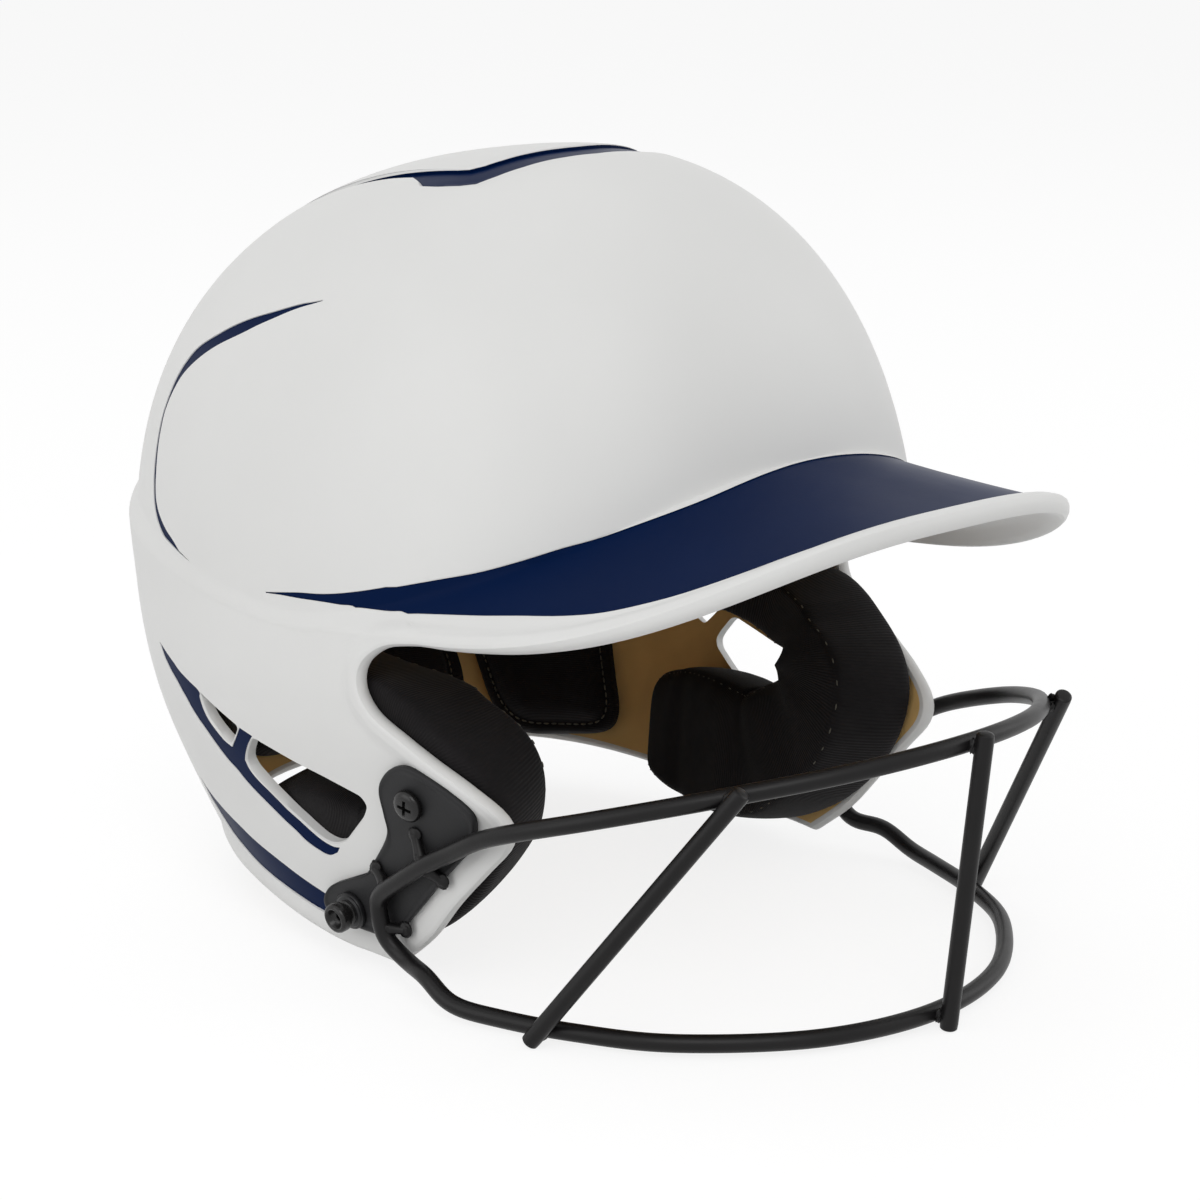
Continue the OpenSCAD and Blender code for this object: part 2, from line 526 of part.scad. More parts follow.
module stud_washers() {
    color(dark) stand() for (s = [-1, 1]) on_wall(s, stud_at, plate_out + seat) difference() {
        rotate_extrude($fn = 40) polygon([[0, 0], [washer_d / 2, 0], [washer_d / 2, washer_t * 0.5],
            [washer_d * 0.42, washer_t], [0, washer_t]]);
        translate([0, 0, -1]) cylinder(h = washer_t + 2, d = stud_d + hole_fit, $fn = 32);
    }
}
module stud_nuts() {
    flange_nut(stud_at, stud_d);
}

// Pads. A pad's section runs from its seat on the shell over drawn-in sides to a crowned face.
pad_in = -shell_t - seat;

// Ear pad: a cushion bent round the ear hole, along hand-picked points [y, z, width].
ear_line = [[27, -16, 17], [15, -17, 26], [5, -17.5, 23.5], [-21, -25.5, 29], [-35.5, -33.5, 23],
    [-39.5, -47, 40.5], [-34, -60.5, 35], [-18, -70.5, 39], [-6, -75, 42], [10, -74, 45],
    [21.5, -73, 44.5], [31.5, -72.2, 42], [40.5, -70.5, 35], [47, -70, 16]];
ear_section = [[-0.78, 0], [-1, 0.2], [-1, 0.62], [-0.84, 0.88], [-0.45, 0.98], [0, 1], [0.45, 0.98],
    [0.84, 0.88], [1, 0.62], [1, 0.2], [0.78, 0], [0, 0]];
module ear_pad(s) {
    n = 30;
    m = len(ear_section);
    function station(i) = let (t = i / n, c = curve(ear_line, t),
        a = curve(ear_line, max(t - 0.01, 0)), b = curve(ear_line, min(t + 0.01, 1)),
        d = unit([b[0] - a[0], b[1] - a[1]]), end = sqrt(1 - pow(abs(2 * t - 1), 14)),
        tuck = 1 - 0.045 * pow(cos(180 * 5 * t), 8))
        [for (q = ear_section) let (w = c[2] / 2 * q[0] * (0.3 + 0.7 * end),
            h = ear_pad_t * q[1] * (0.25 + 0.75 * end) * tuck)
            skin(c[0] + d[1] * w, c[1] - d[0] * w, pad_in - 0.5 * seat - h)];
    rings = [for (i = [0 : n]) each station(i)];
    color(cloth) stand() difference() {
        on_side(s) polyhedron(rings, concat([[for (a = [m - 1 : -1 : 0]) a]], [[for (a = [0 : m - 1]) n * m + a]],
            [for (i = [0 : n - 1]) for (a = [0 : m - 1]) let (b = (a + 1) % m)
                each [[i * m + a, i * m + b, (i + 1) * m + b], [i * m + a, (i + 1) * m + b, (i + 1) * m + a]]]));
        for (at = [screw_at, stud_at]) on_wall(s, at, nut_out - seat)
            cylinder(h = 3 * nut_t, d = nut_d + 2 * seat, $fn = 32);
    }
}
module ear_pad_right() {
    ear_pad(-1);
}
module ear_pad_left() {
    ear_pad(1);
}

// Rounded cushion over a patch of the inner wall. grid is one list of point pairs: [surface, outward].
pad_rings = [[0.3, 0], [0.6, 0], [0.9, 0], [1, 0.22], [1.01, 0.6], [0.95, 0.86], [0.78, 0.96], [0.4, 1.02]];
module cushion(centre, rings, thick, pad_in = pad_in) {
    n = len(rings[0]);
    m = len(pad_rings);
    function sink(q, h) = q[0] + (pad_in - h) * q[1];
    pts = concat([sink(centre, 0)], [for (i = [0 : m - 1]) for (q = rings[i]) sink(q, pad_rings[i][1] * thick)],
        [sink(centre, 1.04 * thick)]);
    function at(i, a) = 1 + i * n + a % n;
    polyhedron(pts, concat([for (a = [0 : n - 1]) [0, at(0, a + 1), at(0, a)]],
        [for (i = [0 : m - 2]) for (a = [0 : n - 1])
            each [[at(i, a), at(i + 1, a + 1), at(i + 1, a)], [at(i, a), at(i, a + 1), at(i + 1, a + 1)]]],
        [for (a = [0 : n - 1]) [len(pts) - 1, at(m - 1, a), at(m - 1, a + 1)]]));
}
// Squared-off ring of n points, r across.
function squircle(a, r, p) = [r * spow(cos(a), 2 / p), r * spow(sin(a), 2 / p)];
n_pad = 36;
function wall_spot(phi, z) = [wall(phi, z), wall_out(phi, z)];
module wall_pad(phi, z, w, h, thick) {
    span = w / norm(wall(phi, z)) * 180 / PI;
    cushion(wall_spot(phi, z), [for (q = pad_rings) [for (i = [0 : n_pad - 1])
        let (e = squircle(360 * i / n_pad, q[0], 4.2)) wall_spot(phi + e[0] * span / 2, z + e[1] * h / 2)]], thick,
        pad_in - 0.5 * seat);
}
function dome_out(x, y) = unit(cross(dome_top(x + 0.5, y) - dome_top(x - 0.5, y),
    dome_top(x, y + 0.5) - dome_top(x, y - 0.5)));
function dome_spot(x, y) = [dome_top(x, y), dome_out(x, y)];
module crown_pad() {
    color(cloth) stand() cushion(dome_spot(0, 14), [for (q = pad_rings) [for (i = [0 : n_pad - 1])
        let (e = squircle(360 * i / n_pad, q[0], 3)) dome_spot(e[0] * 42, 14 + e[1] * 62)]], crown_pad_t, pad_in - 1.4 * seat);
}
function brow_spot(phi, th) = let (a = dome(phi + 0.5, th) - dome(phi - 0.5, th),
    b = dome(phi, th + 0.5) - dome(phi, th - 0.5)) [dome(phi, th), unit(cross(a, b))];
brow_th = dome_th(brow_rise) + 14;
module forehead_pad() {
    color(cloth) stand() cushion(brow_spot(270, brow_th), [for (q = pad_rings) [for (i = [0 : n_pad - 1])
        let (e = squircle(360 * i / n_pad, q[0], 4)) brow_spot(270 + e[0] * 58, brow_th + e[1] * 9.5)]], brow_pad_t, pad_in - seat);
}
rear_z = -38;
side_pad_w = 70;
module rear_pad() {
    color(cloth) stand() wall_pad(90, rear_z - 3, rear_pad_w, rear_pad_h, rear_pad_t);
}
module rear_side_pad() {
    wall_pad(46, rear_z - 13, side_pad_w, rear_pad_h, rear_pad_t);
}
module rear_pad_left() {
    color(cloth) stand() rear_side_pad();
}
module rear_pad_right() {
    color(cloth) stand() mirror([1, 0, 0]) rear_side_pad();
}

shell();
guard_top_bar();
guard_bottom_bar();
guard_center_strut();
guard_right_strut();
guard_left_strut();
guard_plate_right();
guard_plate_left();
guard_tabs_right();
guard_tabs_left();
upper_screws();
upper_nuts();
snap_studs();
stud_washers();
stud_nuts();
ear_pad_right();
ear_pad_left();
crown_pad();
forehead_pad();
rear_pad();
rear_pad_right();
rear_pad_left();
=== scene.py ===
# Softball batting helmet with a wire face guard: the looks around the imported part.
# Shapes are worked out in millimetres and turned into metres where a mesh is made.
import bmesh
import bpy
import numpy as np
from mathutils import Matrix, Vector


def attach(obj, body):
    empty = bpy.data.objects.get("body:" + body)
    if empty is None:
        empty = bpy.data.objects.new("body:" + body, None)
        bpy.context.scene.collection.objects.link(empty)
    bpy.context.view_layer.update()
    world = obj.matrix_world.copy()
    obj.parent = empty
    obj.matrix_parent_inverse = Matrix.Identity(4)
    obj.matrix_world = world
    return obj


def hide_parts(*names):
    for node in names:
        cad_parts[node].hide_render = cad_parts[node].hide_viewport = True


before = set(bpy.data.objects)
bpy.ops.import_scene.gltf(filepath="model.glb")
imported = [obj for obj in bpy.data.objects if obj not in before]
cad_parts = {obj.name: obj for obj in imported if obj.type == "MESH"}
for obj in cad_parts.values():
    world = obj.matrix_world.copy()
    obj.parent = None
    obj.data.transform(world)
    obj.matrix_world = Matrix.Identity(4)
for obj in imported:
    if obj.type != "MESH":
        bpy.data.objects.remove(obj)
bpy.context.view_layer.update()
MM = 0.001

# The part's own sizes, in millimetres and degrees.
HALF_W, FRONT_R, BACK_R, DOME_H, WALL_T = 100.0, 111.0, 149.0, 132.0, 3.6
NOSE_UP, WAIST_Z, MID_Y, CENTRE_Y = 6.0, 102.0, -8.3, 16.695
RIDGE_OUT, FLAP_DROP, NAPE_DROP, FLAP_TUCK, EAR_OUT, NAPE_TUCK = 1.4, 98.0, 70.0, 11.0, 3.2, 52.0
BRIM_L, BRIM_RISE, BROW_RISE, EDGE_T, LIP_T = 115.5, 30.0, 42.0, 4.8, 1.2
PLAN_N, RISE_N, EGG, FLAP_R, ROOT_Y, ROOT_Z = 2.4, 2.32, 0.13, 151.0, -46.0, 1.5
SEAT = 0.3

def sind(a): return np.sin(np.radians(a))
def cosd(a): return np.cos(np.radians(a))
def spow(v, p): return np.sign(v) * np.abs(v) ** p
def smooth(a, b, x):
    t = np.clip((x - a) / (b - a), 0, 1)
    return t * t * (3 - 2 * t)
def mix(a, b, t): return a + (b - a) * t
def vec(x, y, z): return np.stack(np.broadcast_arrays(x, y, z), -1)
def unit(v): return v / np.maximum(np.linalg.norm(v, axis=-1, keepdims=True), 1e-9)
def pairs(*numbers): return np.reshape(numbers, (-1, 2))


def spline(a, b, c, d, f):
    """A smooth curve from b to c at share f of the way, with a and d as the points beside them."""
    return 0.5 * (2 * b + (c - a) * f + (2 * a - 5 * b + 4 * c - d) * f * f
                  + (3 * b - a - 3 * c + d) * f ** 3)


def curve(P, t):
    """Points of an open smooth line through P, at shares t of its length in points."""
    P = np.asarray(P, float)
    n = len(P) - 1
    s = np.clip(np.asarray(t, float) * n, 0, n - 1e-6)
    i = s.astype(int)
    f = (s - i)[..., None]
    b, c = P[i], P[i + 1]
    a = np.where((i > 0)[..., None], P[np.maximum(i - 1, 0)], 2 * b - c)
    d = np.where((i + 2 <= n)[..., None], P[np.minimum(i + 2, n)], 2 * c - b)
    return spline(a, b, c, d, f)


def stood(P):
    """Points of the head frame in the part's frame, as it stands on the floor."""
    P = np.asarray(P, float)
    y, z = P[..., 1], P[..., 2]
    return vec(P[..., 0], y * cosd(NOSE_UP) + z * sind(NOSE_UP) + MID_Y + CENTRE_Y,
               z * cosd(NOSE_UP) - y * sind(NOSE_UP) + WAIST_Z)


def headed(P):
    """The way back from stood()."""
    P = np.asarray(P, float)
    y, z = P[..., 1] - MID_Y - CENTRE_Y, P[..., 2] - WAIST_Z
    return vec(P[..., 0], y * cosd(NOSE_UP) - z * sind(NOSE_UP), y * sind(NOSE_UP) + z * cosd(NOSE_UP))


def dome(phi, th):
    """The dome at bearing phi, 0 on the wearer's left and 270 in front, and height angle th."""
    c = spow(cosd(th), 2 / RISE_N)
    X, Y = spow(cosd(phi), 2 / PLAN_N), spow(sind(phi), 2 / PLAN_N)
    return vec(HALF_W * X * (1 + EGG * Y) * c, np.where(Y > 0, BACK_R, FRONT_R) * Y * c,
               DOME_H * spow(sind(th), 2 / RISE_N))


def dome_th(z): return np.degrees(np.arcsin(np.clip(z / DOME_H, 0, 1) ** (RISE_N / 2)))


def dome_top(x, y):
    """The dome's point above x, y."""
    Y = y / np.where(y > 0, BACK_R, FRONT_R)
    X = x / (HALF_W * (1 + EGG * Y))
    rho = (np.abs(X) ** PLAN_N + np.abs(Y) ** PLAN_N) ** (1 / PLAN_N)
    return vec(x, y, DOME_H * np.maximum(0, 1 - rho ** RISE_N) ** (1 / RISE_N))


def depth(z): return np.clip(-z / 100, 0, 2)
def back_at(z): return BACK_R - NAPE_TUCK * depth(z) ** 1.8
def side_at(z): return HALF_W - FLAP_TUCK * depth(z) ** 1.7
def swoop(s): return s * s / (np.abs(s) + 0.12)
def ridge_z(phi): return -4 + 46 * swoop(np.maximum(sind(phi), 0))


def ridge_amp(phi, z):
    d = z - ridge_z(phi)
    return RIDGE_OUT * smooth(-0.1, 0.75, sind(phi)) * smooth(11, 0, d) * (1 - 0.9 * smooth(0, -40, d))


def ear_bulge(phi, z):
    return EAR_OUT * smooth(52, 20, phi) * smooth(14, -20, z) * smooth(-62, -25, z)


def wall(phi, z):
    """The side and back wall's outer face at bearing phi and height z, below the dome."""
    phi, z = np.broadcast_arrays(np.asarray(phi, float), np.asarray(z, float))
    X, Y = spow(cosd(phi), 2 / PLAN_N), spow(sind(phi), 2 / PLAN_N)
    narrow = 1 - 0.06 * depth(z) ** 2 * smooth(0, 0.6, Y)
    x = side_at(z) * X * (1 + EGG * np.where(Y > 0, Y, Y / 2)) * narrow + ear_bulge(phi, z)
    y = np.where(Y > 0, back_at(z), FLAP_R) * Y
    k = 1 + ridge_amp(phi, z) / np.hypot(x, y)
    return vec(x * k, y * k, z)


def wall_phi(y, z):
    return np.degrees(np.arcsin(spow(np.clip(y / np.where(y > 0, back_at(z), FLAP_R), -1, 1), PLAN_N / 2)))


def wall_out(phi, z):
    return unit(np.cross(wall(phi + 0.5, z) - wall(phi - 0.5, z), wall(phi, z + 0.5) - wall(phi, z - 0.5)))


def skin(y, z, o=0.0):
    """The wearer's left wall at y, z, moved outwards by o."""
    y, z = np.asarray(y, float), np.asarray(z, float)
    phi = wall_phi(y, z)
    return wall(phi, z) + np.asarray(o, float)[..., None] * wall_out(phi, z)


def skin_out(y, z):
    y, z = np.asarray(y, float), np.asarray(z, float)
    return wall_out(wall_phi(y, z), z)


TEMPLE, CHEEK, TIP = np.array([-22, -13.0]), np.array([-67, -52.0]), np.array([-15, 0.5 - FLAP_DROP])
FLAP_EDGE = np.array([[ROOT_Y, ROOT_Z], [mix(ROOT_Y, TEMPLE[0], 0.55), 0], TEMPLE + [-2, 7.5], TEMPLE,
    TEMPLE + [-4.5, -8], mix(TEMPLE + [-4.5, -8], CHEEK + [10, 11], 0.33),
    mix(TEMPLE + [-4.5, -8], CHEEK + [10, 11], 0.66), CHEEK + [10, 11], CHEEK + [0.8, 3],
    CHEEK + [1, -4], mix(CHEEK, TIP, 0.22) + [-1, -2.5], mix(CHEEK, TIP, 0.47) + [-0.5, -2.5],
    mix(CHEEK, TIP, 0.73) + [-1, -2.5], TIP])
N_SIDE, N_LOW, N_BRIM, N_DOME, N_FLARE = 22, 20, 20, 12, 4
N_UP, N_RING = N_DOME + N_FLARE, 2 * N_SIDE + N_BRIM


def row_t(i):
    u = np.asarray(i, float) / N_LOW
    return np.where(u < 0.5, u, 1 - np.maximum(1 - u, 0) ** 1.35 * 0.5 / 0.5 ** 1.35)


def col_s(m):
    m = np.asarray(m, float)
    return np.where(m < 2, np.interp(m, [0, 1, 2], [0, 0.01, 0.019]),
                    mix(0.019, 1, np.maximum((m - 2) / (N_SIDE - 2), 0) ** 1.35))


ROOT_PHI = float(wall_phi(np.float64(ROOT_Y), np.float64(ROOT_Z)))


def low(i, k):
    """The lower grid of the wall, row i down from the dome's foot and column k round the back."""
    i, k = np.broadcast_arrays(np.asarray(i, float), np.asarray(k, float))
    m = np.where(k <= N_SIDE, k, 2 * N_SIDE - k)
    t, s = row_t(i), col_s(m)
    e = curve(FLAP_EDGE, t)
    phi0 = wall_phi(e[..., 0], e[..., 1])
    phi = mix(phi0, 90, s)
    z0 = ridge_z(mix(ROOT_PHI, 90, s))
    z1 = mix(TIP[1], -NAPE_DROP, np.maximum(sind(90 * s), 0) ** 0.95)
    z = mix(z0, z1, t) + (e[..., 1] - mix(ridge_z(np.float64(0)), TIP[1], t)) * (1 - smooth(0, 0.7, s))
    P = wall(phi, z)
    P[..., 0] *= np.where(k <= N_SIDE, 1, -1)
    return P


def ring_phi(j):
    j = np.asarray(j, float)
    return np.where(j <= N_SIDE, mix(ROOT_PHI, 90, col_s(j)), np.where(j <= 2 * N_SIDE,
        180 - mix(ROOT_PHI, 90, col_s(2 * N_SIDE - j)),
        mix(180 - ROOT_PHI, 360 + ROOT_PHI, (j - 2 * N_SIDE) / N_BRIM)))


BRIM_W = float(wall(ROOT_PHI, ROOT_Z)[0])


def brim_edge(u):
    return vec(BRIM_W * spow(sind(u), 2 / 3.1), ROOT_Y - BRIM_L * cosd(u),
               mix(ROOT_Z, BRIM_RISE, np.maximum(cosd(u), 0) ** 2.45))


def crease_z(phi):
    s = sind(phi)
    return np.where(s > 0, ridge_z(phi) + 11, 7 + 26.8 * swoop(s) + (BROW_RISE - 31) * np.maximum(-s, 0) ** 4)


def up(i, j):
    """The upper grid of the dome and brim, row i down from the crown and column j round the ring."""
    i, j = np.broadcast_arrays(np.asarray(i, float), np.asarray(j, float))
    phi = ring_phi(j)
    thc = dome_th(crease_z(phi))
    top = dome(phi, 90 - (90 - thc) * np.minimum(i, N_DOME) / N_DOME)
    c = dome(phi, thc)
    front = j > 2 * N_SIDE
    e = np.where(front[..., None], brim_edge(-90 + 180 * (j - 2 * N_SIDE) / N_BRIM),
                 low(0, np.minimum(j, 2 * N_SIDE)))
    v = np.clip((i - N_DOME) / N_FLARE, 0, 1)
    w = np.where(front, 1 - (1 - v) ** 1.25, v)
    g = np.where(front, np.abs(sind(phi)), 0)
    fx = mix(smooth(0, 1, w), w, g)
    fz = mix(w, 1 - (1 - w) ** 1.15, g)
    low_part = np.stack([mix(c[..., k], e[..., k], f) for k, f in enumerate((fx, fx, fz))], -1)
    return np.where((i <= N_DOME)[..., None], top, low_part)


# Materials
def put(tree, kind, **values):
    """A new shader node. values set its inputs, with _ for each space in their names."""
    n = tree.nodes.new("ShaderNode" + kind)
    for key, value in values.items():
        n.inputs[key.replace("_", " ")].default_value = value
    return n


ROUGH_VARY, SHEEN_ROUGH, RIB_STRENGTH = 0.05, 0.4, 0.8
WAVE_BANDS = 2 * np.pi / 20     # the wave texture's scale at one band a unit


def material(name, colour, rough, vary, vary_scale, bumps, spec=0.5, metal=0.0, sheen=0.0, rib=None):
    """A painted, moulded or woven finish: its colour wanders a little and fine bumps break up its gloss.

    bumps is a list of (noise scale, strength, height in metres). rib is (period in mm, height in metres).
    """
    m = bpy.data.materials.new(name)
    m.use_nodes = True
    tree = m.node_tree
    tree.nodes.clear()
    link = tree.links.new
    out = put(tree, "OutputMaterial")
    bsdf = put(tree, "BsdfPrincipled", Metallic=metal, Specular_IOR_Level=spec, Sheen_Weight=sheen,
               Sheen_Roughness=SHEEN_ROUGH)
    link(bsdf.outputs[0], out.inputs[0])
    where = put(tree, "TexCoord").outputs["Object"]

    def noise(scale):
        n = put(tree, "TexNoise", Scale=scale, Detail=3.0)
        link(where, n.inputs["Vector"])
        return n.outputs["Fac"]

    ramp = put(tree, "ValToRGB")
    for end, place, k in zip(ramp.color_ramp.elements, (0.3, 0.7), (1 - vary, 1 + vary)):
        end.position = place
        end.color = [min(1, c * k) for c in colour] + [1]
    link(noise(vary_scale), ramp.inputs["Fac"])
    link(ramp.outputs["Color"], bsdf.inputs["Base Color"])
    worn = put(tree, "MapRange", To_Min=max(0.02, rough - ROUGH_VARY), To_Max=min(1, rough + ROUGH_VARY))
    link(noise(vary_scale * 2.3), worn.inputs["Value"])
    link(worn.outputs["Result"], bsdf.inputs["Roughness"])
    heights = [(noise(scale), strength, distance) for scale, strength, distance in bumps]
    if rib:
        period, height = rib
        uv = put(tree, "UVMap")
        uv.uv_map = "weave"
        wave = put(tree, "TexWave", Scale=WAVE_BANDS / period, Distortion=0.25, Detail=1.0)
        wave.bands_direction = "Y"
        link(uv.outputs["UV"], wave.inputs["Vector"])
        heights.append((wave.outputs["Fac"], RIB_STRENGTH, height))
    normal = None
    for height, strength, distance in heights:
        b = put(tree, "Bump", Strength=strength, Distance=distance)
        link(height, b.inputs["Height"])
        if normal is not None:
            link(normal, b.inputs["Normal"])
        normal = b.outputs["Normal"]
    if normal is not None:
        link(normal, bsdf.inputs["Normal"])
    return m


WHITE = material("shell_white", (0.71, 0.71, 0.70), 0.47, 0.012, 18,
                 [(900, 0.18, 0.0001), (60, 0.05, 0.0004)], spec=0.4)
TAN = material("shell_inside", (0.76, 0.50, 0.20), 0.55, 0.10, 40, [(500, 0.25, 0.0003)], spec=0.3)
NAVY = material("trim_navy", (0.0002, 0.0080, 0.044), 0.32, 0.05, 30, [(1100, 0.10, 0.0001)], spec=0.03)
POWDER = material("guard_black", (0.007, 0.0065, 0.0068), 0.38, 0.15, 60,
                  [(1500, 0.35, 0.0001), (220, 0.12, 0.0002)], spec=0.22)
PLATE = material("plate_charcoal", (0.017, 0.017, 0.018), 0.52, 0.10, 60,
                 [(1300, 0.35, 0.0001), (160, 0.12, 0.0002)], spec=0.22)
SCREW = material("screw_black", (0.009, 0.0085, 0.0085), 0.27, 0.2, 120, [(900, 0.2, 0.0001)], spec=0.35)
WASHER = material("washer_black", (0.010, 0.010, 0.011), 0.38, 0.15, 120, [(900, 0.2, 0.0001)], spec=0.3)
STEEL = material("nut_steel", (0.42, 0.42, 0.43), 0.35, 0.08, 90, [(700, 0.15, 0.0001)], metal=0.9)
FABRIC = material("pad_fabric", (0.0075, 0.0065, 0.007), 0.88, 0.25, 80,
                  [(700, 0.3, 0.0003), (45, 0.2, 0.0010)], spec=0.18, sheen=0.05, rib=(0.72, 0.00014))
THREAD = material("pad_stitch", (0.11, 0.105, 0.085), 0.8, 0.25, 300, [(1800, 0.3, 0.0002)], spec=0.25)


# Meshes
def shade(mesh, sharp):
    """Smooth shading, with the edges sharper than sharp degrees kept hard. 0 keeps none."""
    mesh.shade_smooth()
    if sharp:
        mesh.set_sharp_from_angle(angle=np.radians(sharp))


def make(name, points, faces, materials, slots=None, sharp=0, uv=None):
    """A mesh object from points in millimetres.

    slots gives each face its material, uv each point its place in the weave.
    """
    mesh = bpy.data.meshes.new(name)
    mesh.from_pydata((np.asarray(points, float) * MM).tolist(), [], [list(map(int, f)) for f in faces])
    for m in materials:
        mesh.materials.append(m)
    if slots is not None:
        mesh.polygons.foreach_set("material_index", np.asarray(slots, np.int32))
    if uv is not None:
        layer = mesh.uv_layers.new(name="weave")
        corner = np.empty(len(mesh.loops), np.int32)
        mesh.loops.foreach_get("vertex_index", corner)
        layer.data.foreach_set("uv", np.asarray(uv, np.float32)[corner].ravel())
    shape = bmesh.new()
    shape.from_mesh(mesh)
    bmesh.ops.recalc_face_normals(shape, faces=shape.faces)
    shape.to_mesh(mesh)
    shape.free()
    shade(mesh, sharp)
    o = bpy.data.objects.new(name, mesh)
    bpy.context.scene.collection.objects.link(o)
    return o


def piece(o, slot, *nodes):
    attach(o, "root")
    if nodes:
        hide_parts(*nodes)
    return o


def rows_of_quads(rows, cols, start=0):
    """Quads of a grid of points numbered row by row, the last column joined to the first."""
    faces = []
    for i in range(rows - 1):
        for j in range(cols):
            a, b = start + i * cols + j, start + i * cols + (j + 1) % cols
            faces.append([a, b, b + cols, a + cols])
    return faces


def capped(rows, cols):
    """Faces of closed rings of points, followed by a middle point for the first ring and one for the last."""
    n = rows * cols
    return (rows_of_quads(rows, cols) + [[n, (a + 1) % cols, a] for a in range(cols)]
            + [[n + 1, n - cols + a, n - cols + (a + 1) % cols] for a in range(cols)])


def balled(rows, cols):
    """Faces of closed rings of points between a first and a last point."""
    last = 1 + (rows - 1) * cols
    return ([[0, 1 + (a + 1) % cols, 1 + a] for a in range(cols)] + rows_of_quads(rows, cols, 1)
            + [[last + cols, last + a, last + (a + 1) % cols] for a in range(cols)])


def settle(o):
    """Turns the object's modifiers into its mesh."""
    done = bpy.data.meshes.new_from_object(o.evaluated_get(bpy.context.evaluated_depsgraph_get()))
    o.modifiers.clear()
    old, o.data = o.data, done
    bpy.data.meshes.remove(old)


def carve(body, cutter):
    """Cuts the cutter out of the body. The cutter's faces keep their materials on what they cut."""
    mod = body.modifiers.new("cut", "BOOLEAN")
    mod.operation = "DIFFERENCE"
    mod.solver = "MANIFOLD"
    mod.object = cutter
    settle(body)
    bpy.data.objects.remove(cutter)


def join(name, objects):
    """Several mesh objects as one."""
    with bpy.context.temp_override(active_object=objects[0], selected_editable_objects=objects):
        bpy.ops.object.join()
    objects[0].name = name
    return objects[0]


def mirrored(P):
    return np.asarray(P, float) * [-1, 1, 1]


def both_sides(P, s):
    """Points worked out for the wearer's left side, on side s."""
    return P if s > 0 else mirrored(P)


END_ROUND = 0.35     # share of a wire's radius by which its open ends are rounded off


def tube(path, radius, sides=24, closed=False):
    """Points and faces of a round wire along a path."""
    path = np.asarray(path, float)
    n = len(path)
    if closed:
        along = unit(np.roll(path, -1, 0) - np.roll(path, 1, 0))
    else:
        along = unit(np.gradient(path, axis=0))
    across = np.zeros_like(path)
    ref = np.array([0, 0, 1.0]) if abs(along[0][2]) < 0.9 else np.array([1.0, 0, 0])
    for i in range(n):
        ref = unit(ref - along[i] * (ref @ along[i]))
        across[i] = ref
    other = np.cross(along, across)
    if closed:   # spreads the leftover twist over the whole loop
        last = unit(across[-1] - along[0] * (across[-1] @ along[0]))
        gap = np.arctan2(last @ other[0], last @ across[0])
        a = -gap * np.arange(n) / n
        across, other = (np.cos(a)[:, None] * across + np.sin(a)[:, None] * other,
                         -np.sin(a)[:, None] * across + np.cos(a)[:, None] * other)
    radius = np.broadcast_to(radius, n)
    t = np.arange(sides) * 2 * np.pi / sides
    ring = np.cos(t)[None, :, None] * across[:, None] + np.sin(t)[None, :, None] * other[:, None]
    rows = path[:, None] + radius[:, None, None] * ring
    if closed:
        P = rows.reshape(-1, 3)
        last = (n - 1) * sides
        F = rows_of_quads(n, sides)
        F += [[last + j, last + (j + 1) % sides, (j + 1) % sides, j] for j in range(sides)]
        return P, F
    c = END_ROUND * radius[0]
    start = [path[0] + along[0] * c * (1 - np.sin(a)) + (radius[0] - c * (1 - np.cos(a))) * ring[0]
             for a in np.radians([90, 60, 30])]
    end = [path[-1] - along[-1] * c * (1 - np.sin(a)) + (radius[-1] - c * (1 - np.cos(a))) * ring[-1]
           for a in np.radians([30, 60, 90])]
    rows = np.concatenate([start, rows[1:-1], end])
    m = len(rows)
    F = [list(range(sides))[::-1]] + rows_of_quads(m, sides) + [list(range((m - 1) * sides, m * sides))]
    return rows.reshape(-1, 3), F


LUMP_ROWS, LUMP_COLS, LUMP_UNEVEN = 12, 28, 0.09


def lump(centre, size, axis, seed):
    """A weld bead: a squashed, uneven blob, size long along its axis and across it."""
    rng = np.random.default_rng(seed)
    w = rng.uniform(2, 5, (4, 3))
    ph = rng.uniform(0, 6.28, 4)
    axis = unit(np.asarray(axis, float))
    side = unit(np.cross(axis, [0.3, 0.9, 0.2]))
    third = np.cross(axis, side)
    lat = np.linspace(-90, 90, LUMP_ROWS + 2)[1:-1]
    lon = np.arange(LUMP_COLS) * 360 / LUMP_COLS
    A, B = np.meshgrid(lat, lon, indexing="ij")
    D = np.stack([sind(A), cosd(A) * cosd(B), cosd(A) * sind(B)], -1)
    D = np.concatenate([[[-1, 0, 0]], D.reshape(-1, 3), [[1, 0, 0]]])
    k = 1 + LUMP_UNEVEN * sum(np.sin(D @ w[q] * 1.6 + ph[q]) for q in range(4)) / 1.6
    P = centre + (D * k[:, None]) @ np.array([axis * size[0], side * size[1], third * size[2]])
    return P, balled(LUMP_ROWS, LUMP_COLS)


def combine(parts):
    """Several (points, faces) as one."""
    P, F, n = [], [], 0
    for p, f in parts:
        P.append(np.asarray(p, float))
        F += [[i + n for i in g] for g in f]
        n += len(p)
    return np.concatenate(P), F


